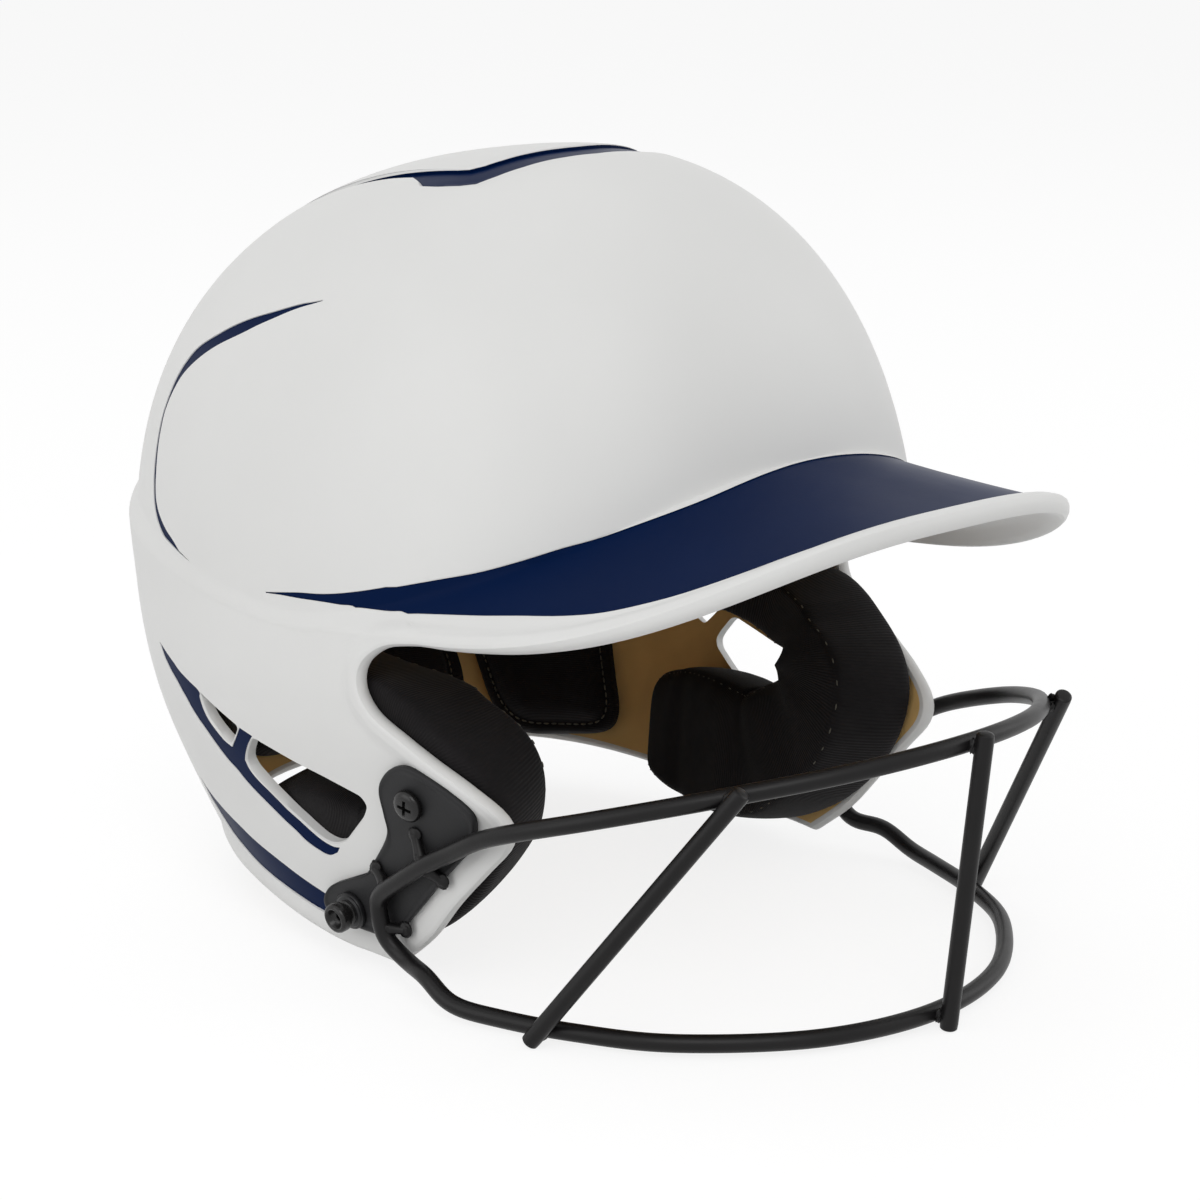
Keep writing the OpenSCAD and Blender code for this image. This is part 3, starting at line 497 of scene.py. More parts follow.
# Shell
FINE_UP = np.concatenate([np.linspace(0, N_DOME, 73)[1:], np.linspace(N_DOME, N_UP, 29)[1:]])
FINE_RING = np.concatenate([np.arange(0, 2 * N_SIDE, 1 / 3), 2 * N_SIDE + np.arange(0, N_BRIM, 1 / 4)])
FINE_LOW = np.linspace(0, N_LOW, 67)[1:]
FINE_SIDE = np.linspace(0, 2 * N_SIDE, 6 * N_SIDE + 1)
BEAD = 1.2           # how far the bead along the brim's edge stands up
BATCH = 4000         # points handled at a time
EDGE_ROUND = 0.62    # how far the edge's nose stands out, as a share of half its thickness
SHELL_SHARP = 28


def vertex_normals(P, faces):
    F = np.array(faces)
    n = np.cross(P[F[:, 2]] - P[F[:, 0]], P[F[:, 3]] - P[F[:, 1]])
    out = np.zeros_like(P)
    for k in range(4):
        np.add.at(out, F[:, k], n)
    return unit(out)


def build_shell():
    """The shell's mesh: outer face, inner face and the rounded edge between them."""
    ring, side, nu, nl = len(FINE_RING), len(FINE_SIDE), len(FINE_UP), len(FINE_LOW)
    upper = up(FINE_UP[:, None], FINE_RING[None])
    lower = low(FINE_LOW[:, None], FINE_SIDE[None])
    outer = np.concatenate([up(0, 0)[None], upper.reshape(-1, 3), lower.reshape(-1, 3)])
    n_top = 1 + nu * ring

    def at_up(i, j):
        return 1 + (i - 1) * ring + j % ring

    def at_low(i, k):
        return at_up(nu, k) if i == 0 else n_top + (i - 1) * side + k

    quads = [[at_up(i, j), at_up(i, j + 1), at_up(i + 1, j + 1), at_up(i + 1, j)]
             for i in range(1, nu) for j in range(ring)]
    quads += [[at_low(i, k), at_low(i, k + 1), at_low(i + 1, k + 1), at_low(i + 1, k)]
              for i in range(nl) for k in range(side - 1)]
    normal = -vertex_normals(outer, quads)
    normal[0] = [0, 0, 1]
    if normal[1:ring, 2].mean() < 0:
        normal *= -1
        normal[0] = [0, 0, 1]
    edge = [at_low(i, 0) for i in range(nl + 1)] + [at_low(nl, k) for k in range(1, side)]
    edge += [at_low(i, side - 1) for i in range(nl - 1, -1, -1)] + [at_up(nu, j) for j in range(side, ring)]
    rim = outer[edge]
    gap = np.full(len(outer), 99.0)
    for a in range(0, len(outer), BATCH):
        gap[a:a + BATCH] = np.linalg.norm(outer[a:a + BATCH, None] - rim[None], axis=-1).min(1)
    phi = np.concatenate([[0], np.tile(ring_phi(FINE_RING), nu), np.full(nl * side, 90.0)])
    brim = np.zeros(len(outer), bool)
    brim[1:n_top] = (np.tile(FINE_RING, nu) >= 2 * N_SIDE) & (np.repeat(FINE_UP, ring) > N_DOME + 1)
    front = smooth(0.15, 0.8, -sind(phi))
    swell = np.where(brim, BEAD * smooth(5.5, 2.2, gap), LIP_T * smooth(7, 1.5, gap))
    at_edge = mix(WALL_T + LIP_T, EDGE_T, front) - 0.2
    thick = np.where(brim, mix(WALL_T, at_edge, smooth(9, 2, gap)), WALL_T)
    top = outer + swell[:, None] * normal
    inner = outer - thick[:, None] * normal
    half = len(outer)
    pole = [[0, at_up(1, j + 1), at_up(1, j)] for j in range(ring)]
    sheet = pole + [f[::-1] for f in quads]
    # Rounded nose along the whole edge.
    e, n = np.array(edge), len(edge)
    along = np.roll(top[e], -1, 0) - np.roll(top[e], 1, 0)
    through = top[e] - inner[e]
    out = unit(np.cross(along, through))
    middle, h = (top[e] + inner[e]) / 2, np.linalg.norm(through, axis=1, keepdims=True) / 2
    arcs = [middle + through / 2 * np.cos(a) + out * h * EDGE_ROUND * np.sin(a)
            for a in np.radians([30, 60, 90, 120, 150])]
    points = np.concatenate([top, inner] + arcs)
    loops = [e] + [2 * half + q * n + np.arange(n) for q in range(5)] + [e + half]
    faces = [list(f) for f in sheet] + [[i + half for i in f[::-1]] for f in sheet]
    slots = [0] * len(sheet)
    under = brim | (gap < 1.2)
    slots += [0 if all(under[i] for i in f) else 1 for f in sheet]
    for a, b in zip(loops, loops[1:]):
        for i in range(n):
            j = (i + 1) % n
            faces.append([a[i], b[i], b[j], a[j]])
            slots.append(0)
    return make("helmet_shell", stood(points), faces, [WHITE, TAN, NAVY], slots)


CUT_LIFT, CUT_BRINK = 2.6, 0.12     # how far a cutter stands over the surface, and where its walls turn up
CUT_TINY = 0.6                      # narrower places take their direction from wider ones
WALL_FOOT = 0.35                    # where a cutter's wall starts, as a share of its depth


def straight(P, t):
    """Points of straight stretches between the points of P, at shares t."""
    return np.stack([np.interp(t * (len(P) - 1), np.arange(len(P)), P[:, k]) for k in (0, 1)], -1)


def loft(at, inner_line, outer_line, depth, chamfer=0.45, wide=None, cols=5, wall=2, line=curve, rows=90):
    """A cutter between two lines on the shell. at() gives the shell's points and normals for a line's points.

    Its floor lies at the given depth, its walls rise from there and flare out by the chamfer. wide is the
    outer wall's own top line, for a wall that leans. wall is the material slot of the walls.
    """
    t = np.linspace(0, 1, rows)
    A, B = line(inner_line, t), line(outer_line, t)
    s = np.linspace(0, 1, cols)
    grid = A[:, None] * (1 - s[None, :, None]) + B[:, None] * s[None, :, None]
    P, N = at(grid)
    across = P[:, -1] - P[:, 0]
    size = np.linalg.norm(across, axis=1)
    ok = np.where(size > CUT_TINY)[0]
    across = unit(across[ok[np.abs(np.arange(rows)[:, None] - ok[None]).argmin(1)]])
    near, far = P[:, 0], P[:, -1]
    if wide is not None:
        Pw, Nw = at(line(wide, t)[:, None])
        far_top, far_n = Pw[:, 0], Nw[:, 0]
    else:
        far_top, far_n = far + across * chamfer, N[:, -1]
    near_top, near_n = near - across * chamfer, N[:, 0]
    ring = [near_top + CUT_LIFT * near_n, near_top + CUT_BRINK * near_n, near - (depth * WALL_FOOT) * near_n]
    ring += [P[:, c] - depth * N[:, c] for c in range(cols)]
    slots = [0, 0, wall] + [2] * (cols - 1)
    if wide is None:
        ring.append(far - (depth * WALL_FOOT) * far_n)
        slots.append(wall)
    ring += [far_top + CUT_BRINK * far_n, far_top + CUT_LIFT * far_n]
    ring += [mix(ring[-1], ring[0], q) for q in (0.25, 0.5, 0.75)]
    ring = np.stack(ring, 1)
    n = ring.shape[1]
    slots += [0] * (n - len(slots))
    faces = rows_of_quads(rows, n) + [list(range(n))[::-1], list(range((rows - 1) * n, rows * n))]
    return ring.reshape(-1, 3), faces, slots * (rows - 1) + [wall, wall]


def cut_shell(body, P, faces, slots, s):
    """Cuts a loft out of the shell on side s."""
    carve(body, make("cutter", stood(both_sides(P, s)), faces, [WHITE, TAN, NAVY], slots))


def on_side(g):
    return skin(g[..., 0], g[..., 1]), skin_out(g[..., 0], g[..., 1])


def on_top(g):
    P = dome_top(g[..., 0], g[..., 1])
    x, y = g[..., 0], g[..., 1]
    n = np.cross(dome_top(x + 0.5, y) - dome_top(x - 0.5, y), dome_top(x, y + 0.5) - dome_top(x, y - 0.5))
    return P, unit(n)


def on_upper(g):
    """Points of the upper grid, row and column, flipped onto the wearer's left side."""
    i, j = g[..., 0], g[..., 1]
    n = unit(np.cross(up(i, (j + 0.02) % N_RING) - up(i, (j - 0.02) % N_RING),
                      up(i + 0.02, j % N_RING) - up(i - 0.02, j % N_RING)))
    P = up(i, j % N_RING)
    n *= np.where(((P - [0, 10, -120]) * n).sum(-1, keepdims=True) < 0, -1, 1)
    return mirrored(P), mirrored(n)


def on_front(g):
    P, n = on_upper(g)
    return mirrored(P), mirrored(n)


VENT_DEEP, VENT_OVER, VENT_CHAMFER = 9, 3, 0.5


def opening(outline, centre):
    """A cutter through the side wall, with straight sides and a chamfered edge."""
    centre = np.asarray(centre, float)
    far = unit(outline - centre)

    def ring(r, off, grow=0.0):
        q = centre + (outline - centre) * r + far * grow
        return skin(q[:, 0], q[:, 1], off)
    rings = [ring(r, -VENT_DEEP) for r in (0.34, 0.67, 1)]
    rings += [ring(1, -0.6), ring(1, 0.15, VENT_CHAMFER)]
    rings += [ring(r, VENT_OVER, VENT_CHAMFER) for r in (1, 0.67, 0.34)]
    P = np.concatenate([skin(*centre, -VENT_DEEP)[None]] + rings + [skin(*centre, VENT_OVER)[None]])
    F = balled(len(rings), len(outline))
    return P, F, [0] * len(F)


def rounded(points, r, n=7):
    """A closed outline with its corners rounded off, as a dense list."""
    P = np.asarray(points, float)
    out = []
    for i, p in enumerate(P):
        a, b = P[i - 1] - p, P[(i + 1) % len(P)] - p
        k = min(r, 0.45 * np.linalg.norm(a), 0.45 * np.linalg.norm(b))
        a, b = unit(a) * k, unit(b) * k
        out += [p + a * (1 - t) ** 2 + b * t ** 2 for t in np.linspace(0, 1, n)]
    return np.array(out)


# Outlines and lines on the side wall, measured against the photo: y and z of each point in the head frame.
BIG_VENT = pairs(29.4, -33.4, 34.8, -39.3, 36.4, -41.9, 35.4, -44.7, 29.1, -50.1, 21.6, -55.4, 13.1, -60.5,
    8.5, -62.9, 3.8, -63.9, -1.6, -62.4, -12.9, -53.2, -15.6, -49.6, -13.9, -46.8, 9.5, -40.1)
SMALL_VENT = pairs(53.4, -22.4, 53.6, -24.3, 52.9, -27.6, 51.3, -30.7, 48.6, -33.4, 45.3, -36.1,
    42.4, -37.4, 38.5, -34, 35.4, -30.9)
BLADE_TOP = pairs(78.3, -10.1, 72.8, -12.8, 68, -15.2, 65, -17, 59.7, -19.4, 54.1, -22, 54.1, -24.3,
    53.4, -27.7, 51.7, -31, 49, -33.8, 45.7, -36.6, 42.1, -38.3, 37.6, -40.4, 36.9, -41.8, 35.9, -44.9,
    33.2, -47.8, 29.4, -50.5, 25.6, -53.2, 21.9, -55.9, 17.6, -58.4, 13.4, -61, 8.7, -63.5, 4.3, -64.9,
    1.3, -64.9)
BLADE_LOW = pairs(78.4, -10.4, 76, -14.2, 73.8, -16.4, 71.8, -18.3, 68.9, -20.7, 66, -23.8, 64, -25.7,
    61.5, -28.9, 58.6, -32, 55.7, -34.8, 53.1, -37.7, 50.5, -40.5, 47.6, -43.4, 43.9, -46.1, 41, -49,
    37.5, -51.7, 33.5, -54.4, 29.5, -57, 25.4, -59.6, 20.9, -62.1, 16.9, -64.7, 12, -66.8, 7, -68,
    2.8, -66.6)
BRANCH_A = pairs(34.8, -31.1, 38, -34.5, 42.1, -38.3, 44, -40.3)
BRANCH_B = pairs(29.1, -33.1, 32.4, -36, 35.5, -39.6, 37.6, -43)
BLADE2_TOP = pairs(80.5, -55.5, 77.7, -58, 74.7, -59.8, 68.1, -62.4, 62.2, -64.5, 56, -66.6, 50.3, -68.8,
    44.1, -70.9, 37.6, -72.9, 31.1, -75, 24.9, -77.1, 18.4, -79.2, 13, -80.9, 8, -82.5)
BLADE2_LOW = pairs(80.9, -56, 78.7, -61.4, 75.4, -64.1, 72.2, -66.8, 68.8, -69.5, 65.4, -72.1, 60.5, -74.4,
    55.5, -76.7, 49.9, -78.8, 43.2, -80.7, 35.8, -82.5, 28.3, -84.3, 20.8, -86.1, 10, -88.4)
# Lines on the upper grid: row and column of each point.
SLASH_A = pairs(6.56, 37.3, 6.63, 36.88, 6.71, 36.42, 6.95, 35.5, 7.21, 34.55, 7.47, 33.82, 7.73, 33.22,
    8.24, 32.19, 8.66, 31.72, 9.04, 31.45, 9.36, 31.33, 9.69, 31.25, 10.01, 31.2, 10.56, 31.27, 11.1, 31.4,
    11.34, 31.5, 11.57, 31.62, 11.77, 31.83, 11.93, 32.17, 12.05, 32.66, 12.22, 33.2, 12.36, 33.85)
SLASH_B = pairs(6.58, 37.3, 6.67, 36.95, 6.75, 36.63, 6.89, 36.18, 7.09, 35.64, 7.33, 35.01, 7.57, 34.45,
    8.04, 33.31, 8.5, 32.47, 8.94, 31.88, 9.31, 31.6, 9.65, 31.44, 9.97, 31.38, 10.52, 31.46, 11.04, 31.62,
    11.3, 31.7, 11.52, 31.83, 11.69, 32.1, 11.83, 32.54, 11.92, 33.05, 12.06, 33.5, 12.3, 33.87)
PANEL_TOP = pairs(11.89, 36.84, 11.83, 37.35, 11.79, 37.82, 11.79, 38.33, 11.79, 39.1, 11.79, 39.9,
    11.79, 40.5, 11.79, 41.1, 11.79, 41.7, 11.79, 42.2, 11.8, 42.9, 11.81, 43.6, 11.82, 44.2, 11.83, 44.6,
    11.85, 45.1, 11.89, 45.85, 11.91, 46.74, 11.93, 47.63, 11.98, 48.3, 12.02, 49.01, 12.08, 49.71,
    12.14, 50.41, 12.17, 51.17, 12.14, 51.97, 12.09, 52.83, 12.03, 54)
PANEL_LOW = pairs(11.9, 36.86, 11.87, 37.33, 11.87, 37.79, 11.89, 38.33, 11.94, 39.1, 12, 39.84,
    12.27, 40.36, 12.5, 40.76, 12.73, 41.25, 12.9, 41.81, 13, 42.8, 13.06, 43.6, 13.14, 44.19, 13.28, 44.56,
    13.5, 45.1, 13.7, 45.59, 14, 46.36, 14.39, 47.11, 14.72, 47.84, 14.92, 48.6, 15.08, 49.3, 15.2, 50.1,
    15.3, 51, 15.4, 51.9, 15.44, 52.8, 15.45, 54)
# The channel round the raised middle panel, seen from above: x and y of each point.
CHANNEL_IN = pairs(45.2, 112, 40, 92, 37.8, 72, 36.8, 55, 36.4, 44, 35.5, 32, 34.8, 20, 34.5, 10.5, 34.4, 5,
    34.4, 1, 34.4, -4, 33.8, -8.4, 30.8, -11.7, 25, -14, 16, -16.4, 7, -18.1, 0, -18.6)
CHANNEL_OUT = pairs(45.4, 112, 44.2, 92, 42.6, 72, 41.2, 55, 40.3, 44, 39.5, 32, 38.9, 20, 38.9, 11.5,
    40.5, 7, 42.8, 3, 42.6, -5, 41.6, -12.5, 39.8, -17.6, 34.5, -20.6, 26, -23.6, 12, -26.4, 0, -27.4)
CHANNEL_WIDE = pairs(45.9, 112.3, 45.6, 92, 43.8, 72, 42.2, 55, 41.2, 44, 40.3, 32, 39.7, 20, 39.8, 10.3,
    42, 5.4, 44.6, 1.8, 44.8, -5, 44.2, -14, 42.2, -22.6, 38.2, -28.6, 30, -32.4, 15, -34.7, 0, -35.4)

BRIM_MID = 54            # the upper grid's column in the middle of the brim
LINE_DEEP, BRANCH_DEEP, SLASH_DEEP, CHANNEL_DEEP, PANEL_DEEP = 0.35, 0.33, 0.4, 1.3, 0.45


def whole(P, about=0):
    """A half line with its mirror image added after its last point, about column or x = about."""
    k = 1 if about else 0
    Q = P[-2::-1].copy()
    Q[:, k] = 2 * about - Q[:, k]
    return np.concatenate([P, Q])


shell = build_shell()
thin = {"chamfer": 0.15, "wall": 0}
for side in (-1, 1):
    cut_shell(shell, *opening(rounded(BIG_VENT, 3.0), (10, -50)), side)
    cut_shell(shell, *opening(rounded(SMALL_VENT, 2.0), (46.5, -29)), side)
    cut_shell(shell, *loft(on_side, BLADE_TOP, BLADE_LOW, LINE_DEEP, rows=161, **thin), side)
    cut_shell(shell, *loft(on_side, BRANCH_A, BRANCH_B, BRANCH_DEEP, rows=24, **thin), side)
    cut_shell(shell, *loft(on_side, BLADE2_TOP, BLADE2_LOW, LINE_DEEP, **thin), side)
    cut_shell(shell, *loft(on_upper, SLASH_A, SLASH_B, SLASH_DEEP, cols=3, rows=120, **thin), side)
cut_shell(shell, *loft(on_top, whole(CHANNEL_IN), whole(CHANNEL_OUT), CHANNEL_DEEP, wide=whole(CHANNEL_WIDE),
                       cols=7, line=straight, rows=301), 1)
cut_shell(shell, *loft(on_front, whole(PANEL_TOP, BRIM_MID), whole(PANEL_LOW, BRIM_MID), PANEL_DEEP,
                       chamfer=0.35, cols=25, rows=200), 1)
shade(shell.data, SHELL_SHARP)
piece(shell, "shell_white", "shell")


# Guard
WIRE_R, STRUT_OVER = 2.6, 1.4
GUARD_W, TOP_REACH, TOP_Z, LOW_REACH = 97.0, 170.0, 85.0, 161.0
STRUT_TOP_X, STRUT_LOW_X = 64.5, 88.0
PLATE_T = 2.2
PLATE_OUT = SEAT + PLATE_T
WIRE_OUT = PLATE_OUT + SEAT + WIRE_R
LOW_Z = WIRE_R + STRUT_OVER


def loop(y, z):
    """A point of the wire where it lies on the plate."""
    return stood(skin(y, z, WIRE_OUT))


def ahead(x, y, z):
    """A point of the wire in front of the face."""
    return np.array([x, y + CENTRE_Y, z])


TOP_HALF = [loop(-17, -82 + SEAT), loop(-17.3, -76), loop(-21.5, -72.8), loop(-30, -68), loop(-39, -63),
            loop(-50, -57.8), ahead(GUARD_W - 0.8, -78, 56.2), ahead(GUARD_W - 2.5, -95, 62.7),
            ahead(GUARD_W - 9, -115, 69.2), ahead(GUARD_W - 28, 30.5 - TOP_REACH, TOP_Z - 8.5),
            ahead(GUARD_W - 60, 8.5 - TOP_REACH, TOP_Z - 2.5), ahead(0, -TOP_REACH, TOP_Z)]
LOW_HALF = [loop(-17, -82 - SEAT), loop(-17.3, -88), loop(-25, -94.3), ahead(GUARD_W - 0.5, -54.5, 9.5),
            ahead(GUARD_W, -66, LOW_Z + 0.8), ahead(GUARD_W - 4, -81, LOW_Z),
            ahead(GUARD_W - 12.5, -103, LOW_Z), ahead(GUARD_W - 28, 33 - LOW_REACH, LOW_Z),
            ahead(GUARD_W - 60, 8.5 - LOW_REACH, LOW_Z), ahead(0, -LOW_REACH, LOW_Z)]
TOP_PATH, LOW_PATH = [np.array(half + [mirrored(p) for p in half[-2::-1]]) for half in (TOP_HALF, LOW_HALF)]


def even(path, step):
    """The path's points spread evenly, step apart."""
    d = np.concatenate([[0], np.cumsum(np.linalg.norm(np.diff(path, axis=0), axis=1))])
    t = np.linspace(0, d[-1], int(d[-1] / step) + 1)
    return np.stack([np.interp(t, d, path[:, k]) for k in range(3)], -1)


top_line = curve(TOP_PATH, np.linspace(0, 1, 900))
low_line = curve(LOW_PATH, np.linspace(0, 1, 800))
ring_line = np.concatenate([top_line, low_line[::-1]])
ring_line = even(np.concatenate([ring_line, ring_line[:1]]), 1.6)[:-1]
for _ in range(6):       # evens out the bends
    ring_line = (np.roll(ring_line, 1, 0) + 2 * ring_line + np.roll(ring_line, -1, 0)) / 4
P, F = tube(ring_line, WIRE_R, closed=True)
piece(make("guard_wire", P, F, [POWDER]), "guard_black", "guard_top_bar", "guard_bottom_bar")


def bar_at(line, x):
    """The point of a bar in front at x."""
    half = line[:len(line) // 2]
    k = np.argmin(np.abs(half[:, 0] - x) + np.where(np.arange(len(half)) < len(half) // 8, 1e3, 0))
    return half[k]


def bar_away(line, x):
    """The level way square to a bar at x, towards the strut's side."""
    d = bar_at(line, x + 1) - bar_at(line, max(x - 1, 0))
    return np.array([0, -1.0, 0]) if x == 0 else unit(-np.array([-d[1], d[0], 0]))


STRUT_BEAD, STRUT_SHARP = (2.3, 1.2, 1.2), 40
STRUTS = (("guard_center_strut", 1, 0, 0), ("guard_left_strut", 1, STRUT_TOP_X, STRUT_LOW_X),
          ("guard_right_strut", -1, STRUT_TOP_X, STRUT_LOW_X))
for k, (name, s, x_top, x_low) in enumerate(STRUTS):
    gap = 2 * WIRE_R
    a, b = bar_at(top_line, x_top), bar_at(low_line, x_low)
    a_out, b_out = bar_away(top_line, x_top), bar_away(low_line, x_low)
    A, B = a + (gap + SEAT) * a_out, b + (gap + SEAT) * b_out
    u = unit(B - A)
    top_end = A - u * (WIRE_R + STRUT_OVER)
    low_end = B + u * (B[2] - 0.8 * WIRE_R * np.hypot(u[0], u[1])) / -u[2]    # cut off just over the floor
    P, F = tube(both_sides(even(np.array([top_end, low_end]), 2.0), s), WIRE_R)
    strut = make(name + "_rod", P, F, [POWDER], sharp=STRUT_SHARP)
    beads = []
    for q, (at, out) in enumerate(((a, a_out), (b, b_out))):
        middle = at + out * (WIRE_R + SEAT / 2)
        for r, lift in enumerate((1, -1)):
            side_way = unit(np.cross(u, out)) * lift
            beads.append(lump(both_sides(middle + side_way * 1.5, s), STRUT_BEAD, both_sides(u, s),
                              40 + 4 * k + 12 * q + 2 * r))
    P, F = combine(beads)
    weld = make(name + "_weld", P, F, [POWDER])
    piece(join(name + "_rod", [strut, weld]), "guard_black", name)


# Side plates
PLATE_MID = np.array([-27.0, -65.0])
PLATE_CORNERS = pairs(-38, -34.2, -31.5, -36, -26, -41.5, -25, -49, -24, -56, -16.5, -65, -10, -71, -0.4, -74,
    7, -77, 11.3, -82, 9.4, -86, 2.8, -88, -6, -89.2, -13.2, -89.4, -20, -86.8, -27.2, -81.4, -35.2, -74.6,
    -42.8, -67.8, -49.4, -62.3, -55.8, -56.6, -58.8, -49.6, -57.6, -45, -52, -40.4, -44.5, -36.2)
SCREW_AT, STUD_AT = (-37.0, -45.5), (-1.5, -82.8)
PLATE_SHARP = 50
FACE = PLATE_OUT - 0.32      # the plate's face, sunk inside its border


def closed_curve(P, n):
    """n points of a closed smooth line through P."""
    m = len(P)
    t = np.arange(n) / n * m
    k = t.astype(int)
    return spline(P[(k - 1) % m], P[k % m], P[(k + 1) % m], P[(k + 2) % m], (t - k)[:, None])


def side_plate(s, name):
    """A plate pressed to the side wall, with a rounded edge and a faint raised border."""
    line = closed_curve(PLATE_CORNERS, 216)
    inward = unit(PLATE_MID - line)

    def ring(inset, off, share=1):
        q = PLATE_MID + (line + inward * inset - PLATE_MID) * share
        return skin(q[:, 0], q[:, 1], off)
    rings = [ring(1.2, SEAT, r) for r in (0.1, 0.3, 0.5, 0.7, 0.85)]
    rings += [ring(1.2, SEAT), ring(0.5, SEAT), ring(0, SEAT + 0.5), ring(0, PLATE_OUT - 0.6),
              ring(0.2, PLATE_OUT - 0.2), ring(0.7, PLATE_OUT), ring(1.5, PLATE_OUT),
              ring(2.1, PLATE_OUT - 0.25), ring(3.0, FACE)]
    rings += [ring(3.0, FACE, r) for r in (0.9, 0.8, 0.7, 0.6, 0.5, 0.4, 0.3, 0.2, 0.1)]
    P = np.concatenate(rings + [skin(*PLATE_MID, SEAT)[None], skin(*PLATE_MID, FACE)[None]])
    return make(name, stood(both_sides(P, s)), capped(len(rings), len(line)), [PLATE], sharp=PLATE_SHARP)


TAB_R = 1.9
# Each welded tab: its foot on the plate, the wire it goes to and the place along that wire.
TABS = (((-36, -54.5), TOP_PATH, 4), ((-16.5, -67.5), TOP_PATH, 2.2), ((-43, -68.3), TOP_PATH, 4),
        ((-24, -85.6), LOW_PATH, 0.45))
HEAD_BEAD, FOOT_BEAD = (2.6, 2.1, 1.5), (1.3, 2.4, 2.2)
for s, word in ((-1, "right"), (1, "left")):
    piece(side_plate(s, "side_plate_" + word), "plate_charcoal", "guard_plate_" + word)
    parts = []
    for q, (spot, path, count) in enumerate(TABS):
        foot = skin(*spot, PLATE_OUT + SEAT * 0.5)
        head = headed(curve(path, count / (len(path) - 1)))
        way = unit(head - foot)
        tip_at = head - way * (WIRE_R * 0.8)
        t = np.linspace(0, 1, 9)
        waist = 0.62 + 0.42 * t ** 1.5 + 0.25 * (1 - t) ** 4
        parts += [tube(foot + (tip_at - foot) * t[:, None], TAB_R * waist, 20),
                  lump(head - way * WIRE_R * 0.75, HEAD_BEAD, way, 70 + q),
                  lump(foot + way * 0.4, FOOT_BEAD, skin_out(*spot), 80 + q)]
    P, F = combine(parts)
    tabs = make("weld_tabs_" + word, stood(both_sides(P, s)), F, [POWDER])
    piece(tabs, "guard_black", "guard_tabs_" + word)


# Fasteners
FASTENER_SHARP = 38


def circle(r, h, n, turn=0.0):
    t = np.arange(n) * 2 * np.pi / n + turn
    return np.stack([r * np.cos(t), r * np.sin(t), np.full(n, h)], -1)


def turned(profile, n=64):
    """Points and faces of a turned part. profile is its radii and heights from the foot to the top."""
    rings = [circle(r, h, n) for r, h in profile[1:-1]]
    P = np.concatenate(rings + [[[0, 0, profile[0][1]]], [[0, 0, profile[-1][1]]]])
    return P, capped(len(rings), n)


def on_wall(P, at, s):
    """Points round +Z moved to the side wall, +Z square to it."""
    n = skin_out(*at)
    x = unit(np.cross([0, 1.0, 0], n))
    y = np.cross(n, x)
    return stood(both_sides(skin(*at) + P[:, :1] * x + P[:, 1:2] * y + P[:, 2:] * n, s))


def fastener(name, finish, profile, at, s, recess):
    """A turned part at a place of the side wall. recess is the shapes cut out of its head."""
    P, F = turned(profile)
    o = make(name, on_wall(P, at, s), F, [finish])
    for Q, G in recess:
        carve(o, make("recess", on_wall(Q, at, s), G, [finish]))
    shade(o.data, FASTENER_SHARP)
    return o


def blade_shape(length, width, top, deep, turn):
    """A tapered slot cutter, length by width, from above top down to deep."""
    P = []
    for k, h in ((1.12, top + 1), (1.0, top), (0.55, deep)):
        for x, y in ((-1, -1), (1, -1), (1, 1), (-1, 1)):
            P.append([x * length / 2 * k, y * width / 2 * (0.5 + 0.5 * k), h])
    P = np.array(P)
    c, d = np.cos(turn), np.sin(turn)
    P[:, :2] = P[:, :2] @ np.array([[c, d], [-d, c]])
    F = [[0, 1, 2, 3]] + [[i * 4 + (j + 1) % 4, i * 4 + j, (i + 1) * 4 + j, (i + 1) * 4 + (j + 1) % 4]
                          for i in range(2) for j in range(4)] + [[11, 10, 9, 8]]
    return P, F


def socket(r, top, deep):
    """A six-sided cutter, from above top down to deep."""
    P = np.concatenate([circle(r, h, 6, 0.3) for h in (deep, top + 1)])
    return P, [list(range(6))[::-1]] + rows_of_quads(2, 6) + [list(range(6, 12))]


NUT_OUT = -WALL_T - SEAT - 1.6
head_foot = PLATE_OUT + SEAT - 0.25
head_top = PLATE_OUT + SEAT + 2.4
screw_profile = [
    (0, NUT_OUT - 0.4), (1.6, NUT_OUT - 0.4), (2, NUT_OUT), (2, head_foot), (4.6, head_foot),
    (4.8, head_foot + 0.3), (4.8, head_top - 1.5), (4.65, head_top - 1.0), (4.15, head_top - 0.5),
    (3.2, head_top - 0.15), (1.8, head_top), (0, head_top)]
cross = [blade_shape(5.2, 1.05, head_top, head_top - 1.6, turn) for turn in (0.35, 0.35 + np.pi / 2)]
washer_top = PLATE_OUT + SEAT + 1.8
washer_profile = [
    (0, head_foot), (5.6, head_foot), (5.7, head_foot + 0.3), (5.7, washer_top - 0.9),
    (5.5, washer_top - 0.6), (5.0, washer_top - 0.55), (4.8, washer_top - 0.15), (4.5, washer_top),
    (0, washer_top)]
stud_top = washer_top + SEAT + 1.6 + 4.0 - 0.3
